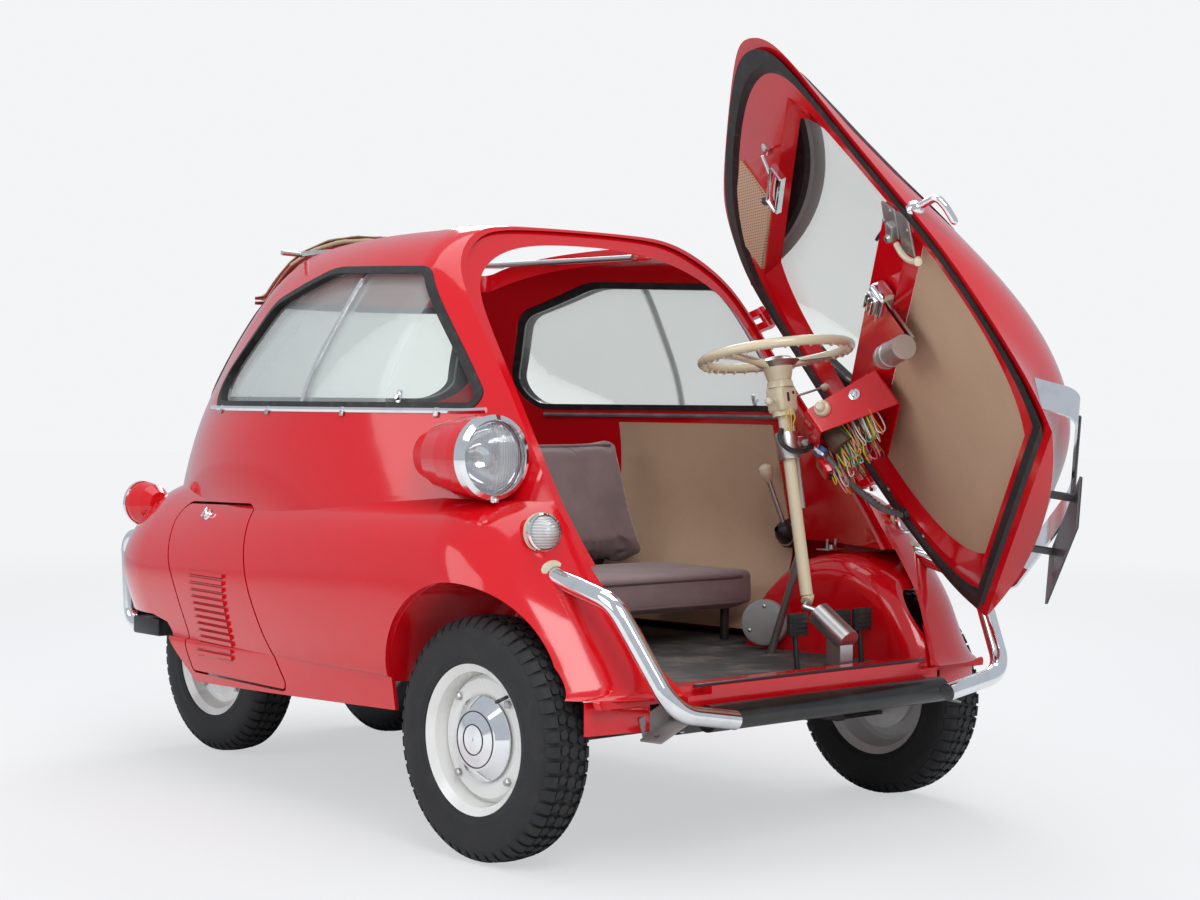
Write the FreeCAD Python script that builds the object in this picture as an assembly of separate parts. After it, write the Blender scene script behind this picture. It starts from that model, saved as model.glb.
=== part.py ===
import FreeCAD, Part
import math
import os
from FreeCAD import Vector, Matrix

# A small two-seat bubble car with a single front door, open as it is parked.
# Units are millimetres. X points to the car's left, the front faces -Y, Z is up,
# and z = 0 is the ground. All the driving sizes stand first.

# Stance
WHEELBASE = 1500.0
FRONT_TRACK = 1200.0
REAR_TRACK = 520.0
TYRE_RADIUS = 245.0
TYRE_WIDTH = 118.0
HUB_CAP_RADIUS = 85.0
FRONT_AXLE_Y = -WHEELBASE / 2
REAR_AXLE_Y = WHEELBASE / 2

# Shut face of the door: a plane that leans back with height
SHUT_FOOT_Y = -1042.0
SHUT_FOOT_Z = 380.0
SHUT_LEAN = 0.78
SHUT_GAP = 6.0

# Door hinge line, on the car's left, and how far the door stands open
HINGE_LOW = Vector(511, -828, 670)
HINGE_HIGH = Vector(464, -448, 1150)
DOOR_OPEN_DEG = 56.0

# Rubber seal round the door: how far in from the skin, how wide, and how far behind the shut plane
DOOR_SEAL_INSET = 14.0
DOOR_SEAL_WIDTH = 14.0
DOOR_SEAL_BACK = 5.0

# Walls
CABIN_WALL = 28.0
FENDER_WALL = 10.0
DOOR_SKIN = 10.0
DOOR_RIM_WIDTH = 48.0
DOOR_RIM_DEPTH = 26.0
GLASS_THICK = 5.0
SEAL_WIDTH = 16.0

# Clearance between pieces that rest on each other, and of a shaft in its bore
SEAT_GAP = 0.3
RUNNING = 0.06
# Clearance that moving pieces keep from what they pass
MOVING_GAP = 5.0

# Steering
COLUMN_X = 188.0
COLUMN_PIVOT = Vector(COLUMN_X, -870, 485)
COLUMN_TOP = Vector(COLUMN_X, -775, 993)
CLAMP_ALONG = 341.0
# How far the column's tilt axis leans out of the plane of its sweep, so that the clamp keeps by the door
COLUMN_CONE_DEG = 52.0

# Row origin in the car's own frame: the middle of the whole box, on the ground
ORIGIN = Vector(0, -252, 0)


def shut_y(z):
    return SHUT_FOOT_Y + SHUT_LEAN * (z - SHUT_FOOT_Z)


# Cabin sections, one per height:
# z, nose y, half width at the door's edge, y of the door's edge, half width, tail y, tail radius
CABIN_SECTIONS = [
    (330, -1092, 375, None, 520, 1000, 440),
    (400, -1108, 412, None, 560, 1010, 440),
    (500, -1130, 445, None, 600, 1020, 450),
    (600, -1136, 461, None, 620, 1005, 460),
    (700, -1086, 466, None, 620, 970, 470),
    (800, -998, 457, None, 615, 925, 470),
    (900, -893, 445, None, 600, 868, 460),
    (1000, -784, 435, None, 565, 800, 440),
    (1100, -664, 428, None, 515, 720, 410),
    (1200, -525, 405, None, 455, 620, 370),
    (1260, -430, 350, None, 395, 545, 320),
    (1300, -352, 255, None, 310, 470, 250),
    (1312, -285, 170, -268, 215, 390, 170),
    (1320, -235, 100, -226, 130, 320, 100),
]

# Lower body and fender sections: same columns, with the edge y given
LOWER_SECTIONS = [
    (200, -1072, 450, -1060, 635, 1060, 540),
    (345, -1086, 460, -1072, 662, 1110, 570),
    (450, -1010, 470, -995, 685, 1128, 600),
    (540, -945, 475, -930, 690, 1125, 600),
    (610, -888, 475, -872, 680, 1085, 560),
    (660, -845, 468, -832, 655, 1030, 520),
    (695, -812, 452, -802, 610, 955, 480),
    (712, -796, 430, -786, 560, 890, 440),
]


class Outline:
    """A plan outline of tangent arcs: nose, two front sides, two rear sides and tail."""

    def __init__(self, row, inset):
        z, nose, edge_half, edge_y, half, tail, tail_r = row
        if edge_y is None:
            edge_y = shut_y(z)
        depth = edge_y - nose
        nose_r = (edge_half ** 2 + depth ** 2) / (2 * depth)
        nose_c = nose + nose_r
        ux = edge_half / nose_r
        uy = (edge_y - nose_c) / nose_r
        front_r = (half - edge_half) / (1 - ux)
        mid = edge_y - front_r * uy
        length = tail - mid
        rear_r = (half ** 2 + length ** 2 - 2 * tail_r * length) / (2 * (half - tail_r))
        tail_c = tail - tail_r
        self.z = z
        self.nose = Vector(0, nose + inset, z)
        edge_x = (nose_r - inset) * ux
        self.edge = Vector(edge_x, nose_c + (nose_r - inset) * uy, z)
        fr = front_r - inset
        front_c = Vector(half - front_r, mid, z)
        self.wide = Vector(half - inset, mid, z)
        self.front_mid = self.between(front_c, fr, self.edge, self.wide)
        rr = rear_r - inset
        rear_c = Vector(half - rear_r, mid, z)
        to_tail = Vector(0, tail_c, z) - rear_c
        to_tail.normalize()
        self.corner = Vector(0, tail_c, z) + to_tail * (tail_r - inset)
        self.rear_mid = self.between(rear_c, rr, self.wide, self.corner)
        self.tail = Vector(0, tail - inset, z)

    def between(self, centre, radius, first, last):
        way = (first - centre).normalize() + (last - centre).normalize()
        return centre + way.normalize() * radius

    def wire(self, lift=0.0):
        def left(p):
            return Vector(p.x, p.y, p.z + lift)

        def right(p):
            return Vector(-p.x, p.y, p.z + lift)

        arcs = [
            (right(self.edge), left(self.nose), left(self.edge)),
            (left(self.edge), left(self.front_mid), left(self.wide)),
            (left(self.wide), left(self.rear_mid), left(self.corner)),
            (left(self.corner), left(self.tail), right(self.corner)),
            (right(self.corner), right(self.rear_mid), right(self.wide)),
            (right(self.wide), right(self.front_mid), right(self.edge)),
        ]
        return Part.Wire([Part.Arc(*three).toShape() for three in arcs])


def lofted(rows, inset, roof_drop=0.0, drop_from=900.0):
    top = rows[-1][0]
    wires = []
    for row in rows:
        share = max(0.0, (row[0] - drop_from) / (top - drop_from))
        wires.append(Outline(row, inset).wire(-roof_drop * share * share))
    return Part.makeLoft(wires, True, False)


def box(x0, x1, y0, y1, z0, z1):
    return Part.makeBox(x1 - x0, y1 - y0, z1 - z0, Vector(x0, y0, z0))


def cylinder(radius, start, end):
    way = end - start
    return Part.makeCylinder(radius, way.Length, start, way)


def tube(outer, inner, start, end):
    return cylinder(outer, start, end).cut(cylinder(inner, start, end))


def bent_rod(radius, points, bend):
    """A round bar along straight runs joined by tangent arcs of one bend radius."""
    edges = []
    here = points[0]
    for i in range(1, len(points) - 1):
        corner = points[i]
        back = (points[i - 1] - corner).normalize()
        on = (points[i + 1] - corner).normalize()
        half_angle = back.getAngle(on) / 2
        cut = bend / math.tan(half_angle)
        start = corner + back * cut
        end = corner + on * cut
        inward = (back + on).normalize()
        middle = corner + inward * (bend / math.sin(half_angle) - bend)
        edges.append(Part.LineSegment(here, start).toShape())
        edges.append(Part.Arc(start, middle, end).toShape())
        here = end
    edges.append(Part.LineSegment(here, points[-1]).toShape())
    path = Part.Wire(edges)
    circle = Part.Circle(points[0], points[1] - points[0], radius)
    profile = Part.Wire([circle.toShape()])
    return path.makePipeShell([profile], True, False)


def prism(points, way):
    """A prism on a closed polygon, with its corners as given."""
    return Part.Face(Part.makePolygon(points + [points[0]])).extrude(way)


def rounded_prism(points, radii, way):
    """A prism on a polygon whose corners are arcs, each with its own radius."""
    count = len(points)
    edges = []
    ends = []
    for i in range(count):
        corner = points[i]
        back = (points[i - 1] - corner).normalize()
        on = (points[(i + 1) % count] - corner).normalize()
        half_angle = back.getAngle(on) / 2
        cut = radii[i] / math.tan(half_angle)
        start = corner + back * cut
        end = corner + on * cut
        middle = corner + (back + on).normalize() * (radii[i] / math.sin(half_angle) - radii[i])
        ends.append((start, middle, end))
    for i in range(count):
        start, middle, end = ends[i]
        edges.append(Part.Arc(start, middle, end).toShape())
        edges.append(Part.LineSegment(end, ends[(i + 1) % count][0]).toShape())
    return Part.Face(Part.Wire(edges)).extrude(way)


def mirrored(shape):
    return shape.mirror(Vector(0, 0, 0), Vector(1, 0, 0))


def joined(shapes):
    whole = shapes[0]
    if len(shapes) > 1:
        whole = shapes[0].fuse(shapes[1:])
    return whole.removeSplitter()


def opened(shape):
    """The door's own pieces are drawn shut, then swung to where the door stands."""
    swung = shape.copy()
    swung.rotate(HINGE_LOW, HINGE_HIGH - HINGE_LOW, DOOR_OPEN_DEG)
    return swung


NODES = {}


def add(name, shape):
    NODES[name] = shape


# The two halves of space that the shut plane makes
FAR = 4000.0


SHUT_NORMAL = Vector(0, -1, SHUT_LEAN).normalize()
SHUT_SLOPE = Vector(0, SHUT_LEAN, 1).normalize()


def half_space(offset, ahead):
    """All that lies ahead of (or behind) the shut plane moved forward by the offset."""
    slope = SHUT_SLOPE
    normal = SHUT_NORMAL
    foot = Vector(-FAR / 2, SHUT_FOOT_Y, SHUT_FOOT_Z) + normal * offset - slope * FAR / 2
    across = Vector(FAR, 0, 0)
    up = slope * FAR
    face = Part.Face(Part.makePolygon([foot, foot + across, foot + across + up, foot + up, foot]))
    return face.extrude(normal * (FAR if ahead else -FAR))


# Heights and outlines that several pieces share
BODY_TOP = 1360.0
DOOR_FOOT_Z = 366.0
SILL_FOOT_Z = 302.0
SILL_TOP_Z = 358.0
ARCH_Y = -722.0
ARCH_Z = 305.0
ARCH_RADIUS = 250.0
FENDER_BACK_Y = -452.0
WHEEL_CLEARANCE = 12.0
FENDER_ROOM_Z = 585.0
# The door's inner band, between its card and the windshield
CARD_TOP_Z = 768.0
BAND_TOP_Z = 836.0
HEADER_Z = 1135.0

# Underside of the body seen from the side: y, z from front to back
UNDERSIDE = [(-1300, 343), (-700, 343), (-480, 272), (-40, 255), (400, 238), (445, 290), (520, 372), (600, 385),
             (840, 380), (1300, 372)]

# Side window seen from the side: y, z and corner radius
SIDE_WINDOW = [(-590, 893, 30), (-345, 1205, 60), (60, 1222, 300), (330, 1150, 110), (500, 893, 70)]
# Windshield and rear window seen from the front or back: x, z and corner radius
WINDSHIELD = [(-385, 862, 70), (385, 862, 70), (402, 1010, 200), (372, 1196, 80), (-372, 1196, 80), (-402, 1010, 200)]
REAR_WINDOW = [(-400, 905, 60), (400, 905, 60), (330, 1165, 80), (-330, 1165, 80)]
# Roof opening seen from above: x, y and corner radius
ROOF_OPENING = [(-325, -262, 60), (325, -262, 60), (300, 440, 90), (-300, 440, 90)]
# Engine hatch in the right-hand side, seen from the side: y, z and corner radius
HATCH = [(-62, 262, 20), (8, 390, 150), (112, 676, 25), (540, 664, 40), (425, 470, 150), (395, 262, 15)]


def side_prism(table, x0, x1, shrink=0.0):
    """A prism through the car's side from a table of y, z and corner radius."""
    return shrunk_prism(table, shrink, lambda a, b: Vector(x0, a, b), Vector(x1 - x0, 0, 0))


def front_prism(table, y0, y1, shrink=0.0):
    return shrunk_prism(table, shrink, lambda a, b: Vector(a, y0, b), Vector(0, y1 - y0, 0))


def top_prism(table, z0, z1, shrink=0.0):
    return shrunk_prism(table, shrink, lambda a, b: Vector(a, b, z0), Vector(0, 0, z1 - z0))


def shrunk_prism(table, shrink, place, way):
    """The table's outline, moved inwards on every side by shrink (outwards if negative)."""
    count = len(table)
    turn = sum(table[i - 1][0] * table[i][1] - table[i][0] * table[i - 1][1] for i in range(count))
    sign = 1.0 if turn > 0 else -1.0
    points = []
    radii = []
    for i in range(count):
        ax, ay, _ = table[i - 1]
        bx, by, radius = table[i]
        cx, cy, _ = table[(i + 1) % count]
        n1 = Vector(-(by - ay), bx - ax, 0).normalize() * sign
        n2 = Vector(-(cy - by), cx - bx, 0).normalize() * sign
        mitre = (n1 + n2) * (1 / (1 + n1.dot(n2)))
        points.append(place(bx + mitre.x * shrink, by + mitre.y * shrink))
        convex = (bx - ax) * (cy - by) - (by - ay) * (cx - bx)
        radii.append(max(4.0, radius - shrink if convex * sign > 0 else radius + shrink))
    return rounded_prism(points, radii, way)


# Hull solids
cabin_outer = lofted(CABIN_SECTIONS, 0.0)
cabin_inner = lofted(CABIN_SECTIONS, CABIN_WALL, CABIN_WALL)
door_inner = lofted(CABIN_SECTIONS, DOOR_SKIN, DOOR_SKIN)
rim_inner = lofted(CABIN_SECTIONS, DOOR_RIM_WIDTH, DOOR_RIM_WIDTH)
lower_outer = lofted(LOWER_SECTIONS, 0.0)
lower_thin = lofted(LOWER_SECTIONS, FENDER_WALL, FENDER_WALL, 600.0)
lower_thick = lofted(LOWER_SECTIONS, CABIN_WALL, CABIN_WALL, 600.0)

underside = prism([Vector(-900, y, z) for y, z in UNDERSIDE] + [Vector(-900, 1300, 100), Vector(-900, -1300, 100)],
                  Vector(1800, 0, 0))


def door_zone():
    """What lies ahead of the shut plane between the door's edges, with the shut gap."""
    wires = []
    rows = [(150,) + CABIN_SECTIONS[0][1:]] + CABIN_SECTIONS[:6]
    for row in rows:
        z = row[0]
        half = row[2] + SHUT_GAP
        y = shut_y(z) + SHUT_GAP / 2 / abs(SHUT_NORMAL.y)
        flare = 90.0
        corners = [(-half, y), (half, y), (half + flare, y - 300), (-half - flare, y - 300)]
        wires.append(Part.makePolygon([Vector(px, py, z) for px, py in corners + corners[:1]]))
    return Part.makeLoft(wires, True, True)


# Body shell
fender_room = lower_thin.common(box(-800, 800, -1200, FENDER_BACK_Y, 150, FENDER_ROOM_Z))
cabin_room = lower_thick.common(box(-800, 800, FENDER_BACK_Y, 1200, 150, 760))
shell = cabin_outer.common(half_space(-SHUT_GAP / 2, False)).common(box(-900, 900, -1200, 1200, 480, BODY_TOP))
lower = lower_outer.cut([underside, door_zone()])
body = shell.fuse(lower)
body = body.cut([cabin_inner.common(box(-900, 900, -1300, 1200, 200, BODY_TOP)), fender_room, cabin_room])
arches = [cylinder(ARCH_RADIUS, Vector(s * 420, ARCH_Y, ARCH_Z), Vector(s * 800, ARCH_Y, ARCH_Z)) for s in (-1, 1)]
windows = [side_prism(SIDE_WINDOW, -900, 900), front_prism(REAR_WINDOW, 300, 1200), top_prism(ROOF_OPENING, 1200, 1500)]
hatch_hole = side_prism(HATCH, -900, -300)
rebate_slab = half_space(-DOOR_SEAL_BACK - MOVING_GAP, True).common(half_space(0, False))
rebate_inset = DOOR_SEAL_INSET - MOVING_GAP - 4.0
rebate = lofted(CABIN_SECTIONS, rebate_inset, rebate_inset).common(rebate_slab)
wheel_room = [cylinder(TYRE_RADIUS + WHEEL_CLEARANCE, Vector(s * 470, FRONT_AXLE_Y, TYRE_RADIUS),
                       Vector(s * 800, FRONT_AXLE_Y, TYRE_RADIUS)) for s in (-1, 1)]
body = body.cut(arches + wheel_room + windows + [hatch_hole, rebate])
# The welded shell in its three pressings: both front fenders, the lower body and the cabin
WAIST_Z = LOWER_SECTIONS[-1][0]
front_part = box(-900, 900, -1300, FENDER_BACK_Y, 100, WAIST_Z)
rear_part = box(-900, 900, FENDER_BACK_Y, 1300, 100, WAIST_Z)
upper_part = box(-900, 900, -1300, 1300, WAIST_Z, BODY_TOP)
add("front_fenders", body.common(front_part))
add("lower_body", body.common(rear_part))
add("cabin_shell", body.common(upper_part))

door = cabin_outer.common(half_space(SHUT_GAP / 2, True)).common(box(-900, 900, -1300, 0, DOOR_FOOT_Z, BODY_TOP))
rim_slab = half_space(SHUT_GAP / 2 + DOOR_RIM_DEPTH, True)
door_room = door_inner.common(rim_slab).common(box(-900, 900, -1300, 0, DOOR_FOOT_Z + DOOR_SKIN, BODY_TOP))
card_hole = rim_inner.common(box(-900, 900, -1300, 0, DOOR_FOOT_Z + DOOR_RIM_WIDTH, CARD_TOP_Z))
glass_hole = rim_inner.common(box(-900, 900, -1300, 0, BAND_TOP_Z, HEADER_Z))
door = door.cut([door_room, card_hole, glass_hole, front_prism(WINDSHIELD, -1200, 0).common(rim_slab)])
add("door_shell", opened(door))


def turned(table):
    """A turned solid about +Z from a table of radius, z."""
    points = [Vector(r, 0, z) for r, z in table]
    return Part.Face(Part.makePolygon(points + points[:1])).revolve(Vector(0, 0, 0), Vector(0, 0, 1), 360)


def aimed(shape, at, way):
    """A solid drawn about +Z, turned so that +Z lies along way, then put at its place."""
    turn = FreeCAD.Rotation(Vector(0, 0, 1), way)
    placed = shape.copy()
    placed.Placement = FreeCAD.Placement(at, turn)
    return placed


def both(shape):
    return Part.makeCompound([shape, mirrored(shape)])


def on_plane(x, along, ahead=0.0):
    """A point of the shut plane at x and height along, moved forward of the plane by ahead."""
    return Vector(x, shut_y(along), along) + SHUT_NORMAL * ahead


def largest(shape):
    return max(shape.Solids, key=lambda solid: solid.Volume)


# Glass and rubber follow the cabin's own surface
GLASS_INSET = 12.0
glass_outer = lofted(CABIN_SECTIONS, GLASS_INSET, GLASS_INSET)
glass_inner = lofted(CABIN_SECTIONS, GLASS_INSET + GLASS_THICK, GLASS_INSET + GLASS_THICK)
RUBBER_PROUD = 3.0
rubber_outer = lofted(CABIN_SECTIONS, -RUBBER_PROUD, -RUBBER_PROUD)
rubber_inner = lofted(CABIN_SECTIONS, 24.0, 24.0)
skin_clear = lofted(CABIN_SECTIONS, -SEAT_GAP, -SEAT_GAP)
lower_clear = lofted(LOWER_SECTIONS, -SEAT_GAP, -SEAT_GAP)
body_clear = skin_clear.fuse(lower_clear)


def glazed(prism_of):
    outside = prism_of(SEAT_GAP)
    middle = prism_of(SEAL_WIDTH)
    pane = prism_of(SEAL_WIDTH + SEAT_GAP)
    ring = outside.cut(middle)
    seal = ring.common(rubber_outer).cut(rubber_inner)
    glass = pane.common(glass_outer).cut(glass_inner)
    return glass, seal


left_glass, left_seal = glazed(lambda shrink: side_prism(SIDE_WINDOW, 250, 900, shrink))
# The side window's two panes pass each other at a slanted bar: its y at the window's foot and top
DIVIDER_FOOT_Y = -62.0
DIVIDER_TOP_Y = -100.0
DIVIDER_WIDE = 12.0
PANE_LAP = 14.0
PANE_STEP = 5.6
WINDOW_FOOT_Z = 893.0
WINDOW_TOP_Z = 1222.0


def window_strip(front, rear):
    """What lies between two lines parallel to the divider, given as distances behind it."""
    corners = [(DIVIDER_FOOT_Y + front, WINDOW_FOOT_Z - 60), (DIVIDER_FOOT_Y + rear, WINDOW_FOOT_Z - 60),
               (DIVIDER_TOP_Y + rear, WINDOW_TOP_Z + 60), (DIVIDER_TOP_Y + front, WINDOW_TOP_Z + 60)]
    return prism([Vector(250, y, z) for y, z in corners], Vector(650, 0, 0))


side_room = side_prism(SIDE_WINDOW, 250, 900, SEAL_WIDTH + SEAT_GAP)
rear_outer = lofted(CABIN_SECTIONS, GLASS_INSET + PANE_STEP, GLASS_INSET + PANE_STEP)
rear_inner = lofted(CABIN_SECTIONS, GLASS_INSET + PANE_STEP + GLASS_THICK, GLASS_INSET + PANE_STEP + GLASS_THICK)
front_pane = largest(left_glass.common(window_strip(-600, DIVIDER_WIDE)))
rear_pane = largest(side_room.common(rear_outer).cut(rear_inner).common(window_strip(-PANE_LAP, 700)))
bar_outer = lofted(CABIN_SECTIONS, GLASS_INSET - 6, GLASS_INSET - 6)
bar_inner = lofted(CABIN_SECTIONS, GLASS_INSET - 0.7, GLASS_INSET - 0.7)
divider = largest(side_room.common(bar_outer).cut(bar_inner).common(window_strip(0, DIVIDER_WIDE)))
add("window_dividers", Part.makeCompound([divider, mirrored(divider)]))
rear_glass, rear_seal = glazed(lambda shrink: front_prism(REAR_WINDOW, 420, 1200, shrink))
shield_glass, shield_seal = glazed(lambda shrink: front_prism(WINDSHIELD, -1200, -250, shrink))
side_panes = [front_pane, rear_pane]
add("cabin_windows", Part.makeCompound(side_panes + [mirrored(pane) for pane in side_panes] + [rear_glass]))
add("window_seals", Part.makeCompound([left_seal, mirrored(left_seal), rear_seal]))
ahead_of_rim = half_space(SHUT_GAP / 2 + DOOR_RIM_DEPTH + SEAT_GAP, True)
add("windshield", opened(largest(shield_glass.common(ahead_of_rim))))
add("windshield_seal", opened(largest(shield_seal.common(ahead_of_rim))))

# Floor, sill, bulkhead and shelf
WHEELHOUSE_X = 380.0
WHEELHOUSE_RADIUS = 300.0
WHEELHOUSE_WALL = 8.0
FLOOR_Z = 330.0
FLOOR_THICK = 10.0
SILL_HALF = WHEELHOUSE_X - SEAT_GAP
# Where the fender's lower lip comes over the sill's front corners
SILL_CORNER = Vector(314, -1050, 342)
SILL_BACK_Y = -1004.0
SILL_FRONT_Y = -1078.0
BULKHEAD_Y = 150.0
SHELF_Z = 640.0
PANEL_GAP = 1.5
lower_fit = lofted(LOWER_SECTIONS, CABIN_WALL + PANEL_GAP, CABIN_WALL + PANEL_GAP, 600.0)
thin_fit = lofted(LOWER_SECTIONS, FENDER_WALL + PANEL_GAP, FENDER_WALL + PANEL_GAP, 600.0)
floor_front = box(-WHEELHOUSE_X + SEAT_GAP, WHEELHOUSE_X - SEAT_GAP, SILL_BACK_Y + SEAT_GAP, -440, FLOOR_Z,
                  FLOOR_Z + FLOOR_THICK)
floor_back = box(-700, 700, -440, BULKHEAD_Y + 5, FLOOR_Z, FLOOR_Z + FLOOR_THICK).common(lower_fit)
floor = joined([floor_front, floor_back])
add("floor_pan", floor)
sill = box(-SILL_HALF, SILL_HALF, SILL_FRONT_Y, SILL_BACK_Y, SILL_FOOT_Z, SILL_TOP_Z)
corner = box(SILL_CORNER.x, 400, SILL_FRONT_Y - 1, SILL_CORNER.y, SILL_CORNER.z, SILL_TOP_Z + 1)
sill = sill.cut([corner, mirrored(corner)])
add("front_sill", sill)
bulkhead = joined([
    box(-700, 700, BULKHEAD_Y, BULKHEAD_Y + 5, FLOOR_Z + FLOOR_THICK + SEAT_GAP, SHELF_Z),
    box(-700, 700, BULKHEAD_Y, 1200, SHELF_Z - 5, SHELF_Z)]).common(lower_fit)
add("rear_bulkhead", largest(bulkhead.cut(body)))


def wheelhouse():
    axle = Vector(0, FRONT_AXLE_Y - 5, FLOOR_Z - 60)
    dome = cylinder(WHEELHOUSE_RADIUS, axle + Vector(WHEELHOUSE_X, 0, 0), axle + Vector(700, 0, 0))
    edges = [e for e in dome.Edges if abs(e.BoundBox.XMin - WHEELHOUSE_X) < 1 and e.BoundBox.XLength < 1]
    dome = dome.makeFillet(60, edges)
    hollow = cylinder(WHEELHOUSE_RADIUS - WHEELHOUSE_WALL, axle + Vector(WHEELHOUSE_X + WHEELHOUSE_WALL, 0, 0),
                      axle + Vector(720, 0, 0))
    edges = [e for e in hollow.Edges
             if abs(e.BoundBox.XMin - WHEELHOUSE_X - WHEELHOUSE_WALL) < 1 and e.BoundBox.XLength < 1]
    hollow = hollow.makeFillet(52, edges)
    shell = dome.cut(hollow).common(box(0, 800, -1100, -400, FLOOR_Z, 800))
    shell = shell.common(thin_fit).common(box(0, 800, -1100, -400, FLOOR_Z, FENDER_ROOM_Z - SEAT_GAP))
    return shell.common(half_space(-DOOR_SEAL_BACK - MOVING_GAP - SEAT_GAP, False))


house = largest(wheelhouse().cut(body))
add("wheelhouses", both(house))

# Tan side cards against the cabin wall
card_outer = lofted(CABIN_SECTIONS, CABIN_WALL + SEAT_GAP)
card_inner = lofted(CABIN_SECTIONS, CABIN_WALL + SEAT_GAP + 3)
card_box = box(0, 800, -460, BULKHEAD_Y - 1, FLOOR_Z + FLOOR_THICK + 20, 862)
add("side_cards", both(card_outer.common(card_box).cut(card_inner)))

# Door furniture
lining = lofted(CABIN_SECTIONS, DOOR_SKIN + 1)
card_back = SHUT_GAP / 2 + DOOR_RIM_DEPTH + SEAT_GAP
card_slab = half_space(card_back, True).common(half_space(card_back + 4, False))
card = card_slab.common(lining).common(box(-900, 900, -1300, 0, DOOR_FOOT_Z + DOOR_SKIN + 1, CARD_TOP_Z))
add("door_card", opened(card))
seal_slab = half_space(-DOOR_SEAL_BACK, True).common(half_space(SHUT_GAP / 2 - SEAT_GAP, False))
seal_reach = DOOR_SEAL_INSET + DOOR_SEAL_WIDTH
seal_outer = lofted(CABIN_SECTIONS, DOOR_SEAL_INSET, DOOR_SEAL_INSET)
seal_inner = lofted(CABIN_SECTIONS, seal_reach, seal_reach)
seal_foot_z = DOOR_FOOT_Z + DOOR_SEAL_INSET
door_seal = seal_slab.common(seal_outer).common(box(-900, 900, -1300, 0, seal_foot_z, BODY_TOP))
door_seal = door_seal.cut(seal_inner.common(box(-900, 900, -1300, 0, seal_foot_z + DOOR_SEAL_WIDTH, BODY_TOP)))
add("door_seal", opened(door_seal))

# Wheels: sections as radius and distance outwards from the wheel's middle
half_tyre = TYRE_WIDTH / 2
tyre_profile = [(TYRE_RADIUS, half_tyre - 38), (TYRE_RADIUS - 4, half_tyre - 22), (TYRE_RADIUS - 16, half_tyre - 8),
                (TYRE_RADIUS - 45, half_tyre), (162, half_tyre - 3), (150.3, half_tyre - 8)]
tyre_section = [(r, -z) for r, z in reversed(tyre_profile)] + tyre_profile
rim_section = [(60, 8), (60, 14), (100, 22), (118, 20), (128, 8), (134, 40), (150, 52), (150, 47), (145.7, 40),
               (145.7, -40), (150, -47), (150, -52), (134, -40), (122, 4), (112, 12), (100, 14), (72, 8)]
STUB_RADIUS = 12.0


def wheel_solids(centre, out, bore):
    tyre = turned(tyre_section)
    drum = turned([(bore, -20), (90, -20), (90, -10), (72, 2), (72, 8), (bore, 8)])
    rim = turned(rim_section).fuse(drum)
    return aimed(tyre, centre, out), aimed(rim, centre, out)


KINGPIN_X = 555.0
KINGPIN_RADIUS = 9.0
SIDES = [("left", 1), ("right", -1)]
for side, sign in SIDES:
    centre = Vector(sign * FRONT_TRACK / 2, FRONT_AXLE_Y, TYRE_RADIUS)
    out = Vector(sign, 0, 0)
    tyre, rim = wheel_solids(centre, out, STUB_RADIUS + RUNNING)
    cap = aimed(turned([(0, 39), (45, 34), (62, 23.5), (HUB_CAP_RADIUS, 23.5), (HUB_CAP_RADIUS, 27), (62, 44),
                        (30, 50), (0, 52)]), centre, out)
    add("front_tyre_" + side, tyre)
    add("front_rim_" + side, rim)
    add("hub_cap_" + side, cap)
    pin = Vector(sign * KINGPIN_X, FRONT_AXLE_Y, 0)
    up = Vector(0, 0, 1)
    z = TYRE_RADIUS
    knuckle = cylinder(18, pin + up * (z - 46), pin + up * (z + 46))
    knuckle = knuckle.fuse(cylinder(STUB_RADIUS, pin + up * z + out * 4, pin + up * z + out * 82))
    knuckle = knuckle.fuse(box(pin.x - 14, pin.x + 14, pin.y, pin.y + 110, z - 38, z - 22))
    knuckle = knuckle.cut(cylinder(KINGPIN_RADIUS + RUNNING, pin + up * (z - 60), pin + up * (z + 60)))
    add("knuckle_" + side, knuckle)
rear_tyres = []
rear_metal = []
for side, sign in SIDES:
    centre = Vector(sign * REAR_TRACK / 2, REAR_AXLE_Y, TYRE_RADIUS)
    tyre, rim = wheel_solids(centre, Vector(sign, 0, 0), 0.0)
    rear_tyres.append(tyre)
    rear_metal.append(rim)
AXLE_RADIUS = 15.0
add("rear_tyres", Part.makeCompound(rear_tyres))
axle_low = Vector(-REAR_TRACK / 2, REAR_AXLE_Y, TYRE_RADIUS)
axle_high = Vector(REAR_TRACK / 2, REAR_AXLE_Y, TYRE_RADIUS)
add("rear_rims", joined(rear_metal + [cylinder(AXLE_RADIUS, axle_low, axle_high)]))

# Running gear on the frame
FRAME_X = 150.0
FRAME_TUBE = 25.0
FRAME_Z = FLOOR_Z - SEAT_GAP - FRAME_TUBE
frame = [cylinder(FRAME_TUBE, Vector(s * FRAME_X, -1000, FRAME_Z), Vector(s * FRAME_X, 640, FRAME_Z)) for s in (-1, 1)]
CROSS_TUBE = 20.0
for y, reach in ((-540, 300), (120, 320), (560, 150)):
    frame.append(cylinder(CROSS_TUBE, Vector(-reach, y, FRAME_Z), Vector(reach, y, FRAME_Z)))
cross_z = SILL_FOOT_Z - SEAT_GAP - CROSS_TUBE
frame.append(cylinder(CROSS_TUBE, Vector(-370, -1035, cross_z), Vector(370, -1035, cross_z)))
frame += [box(s * FRAME_X - 12, s * FRAME_X + 12, -1035, -985, cross_z - 10, 300) for s in (-1, 1)]
AXLE_BEAM_Z = 245.0
JACK_PAD_Z = 277.0
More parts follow.
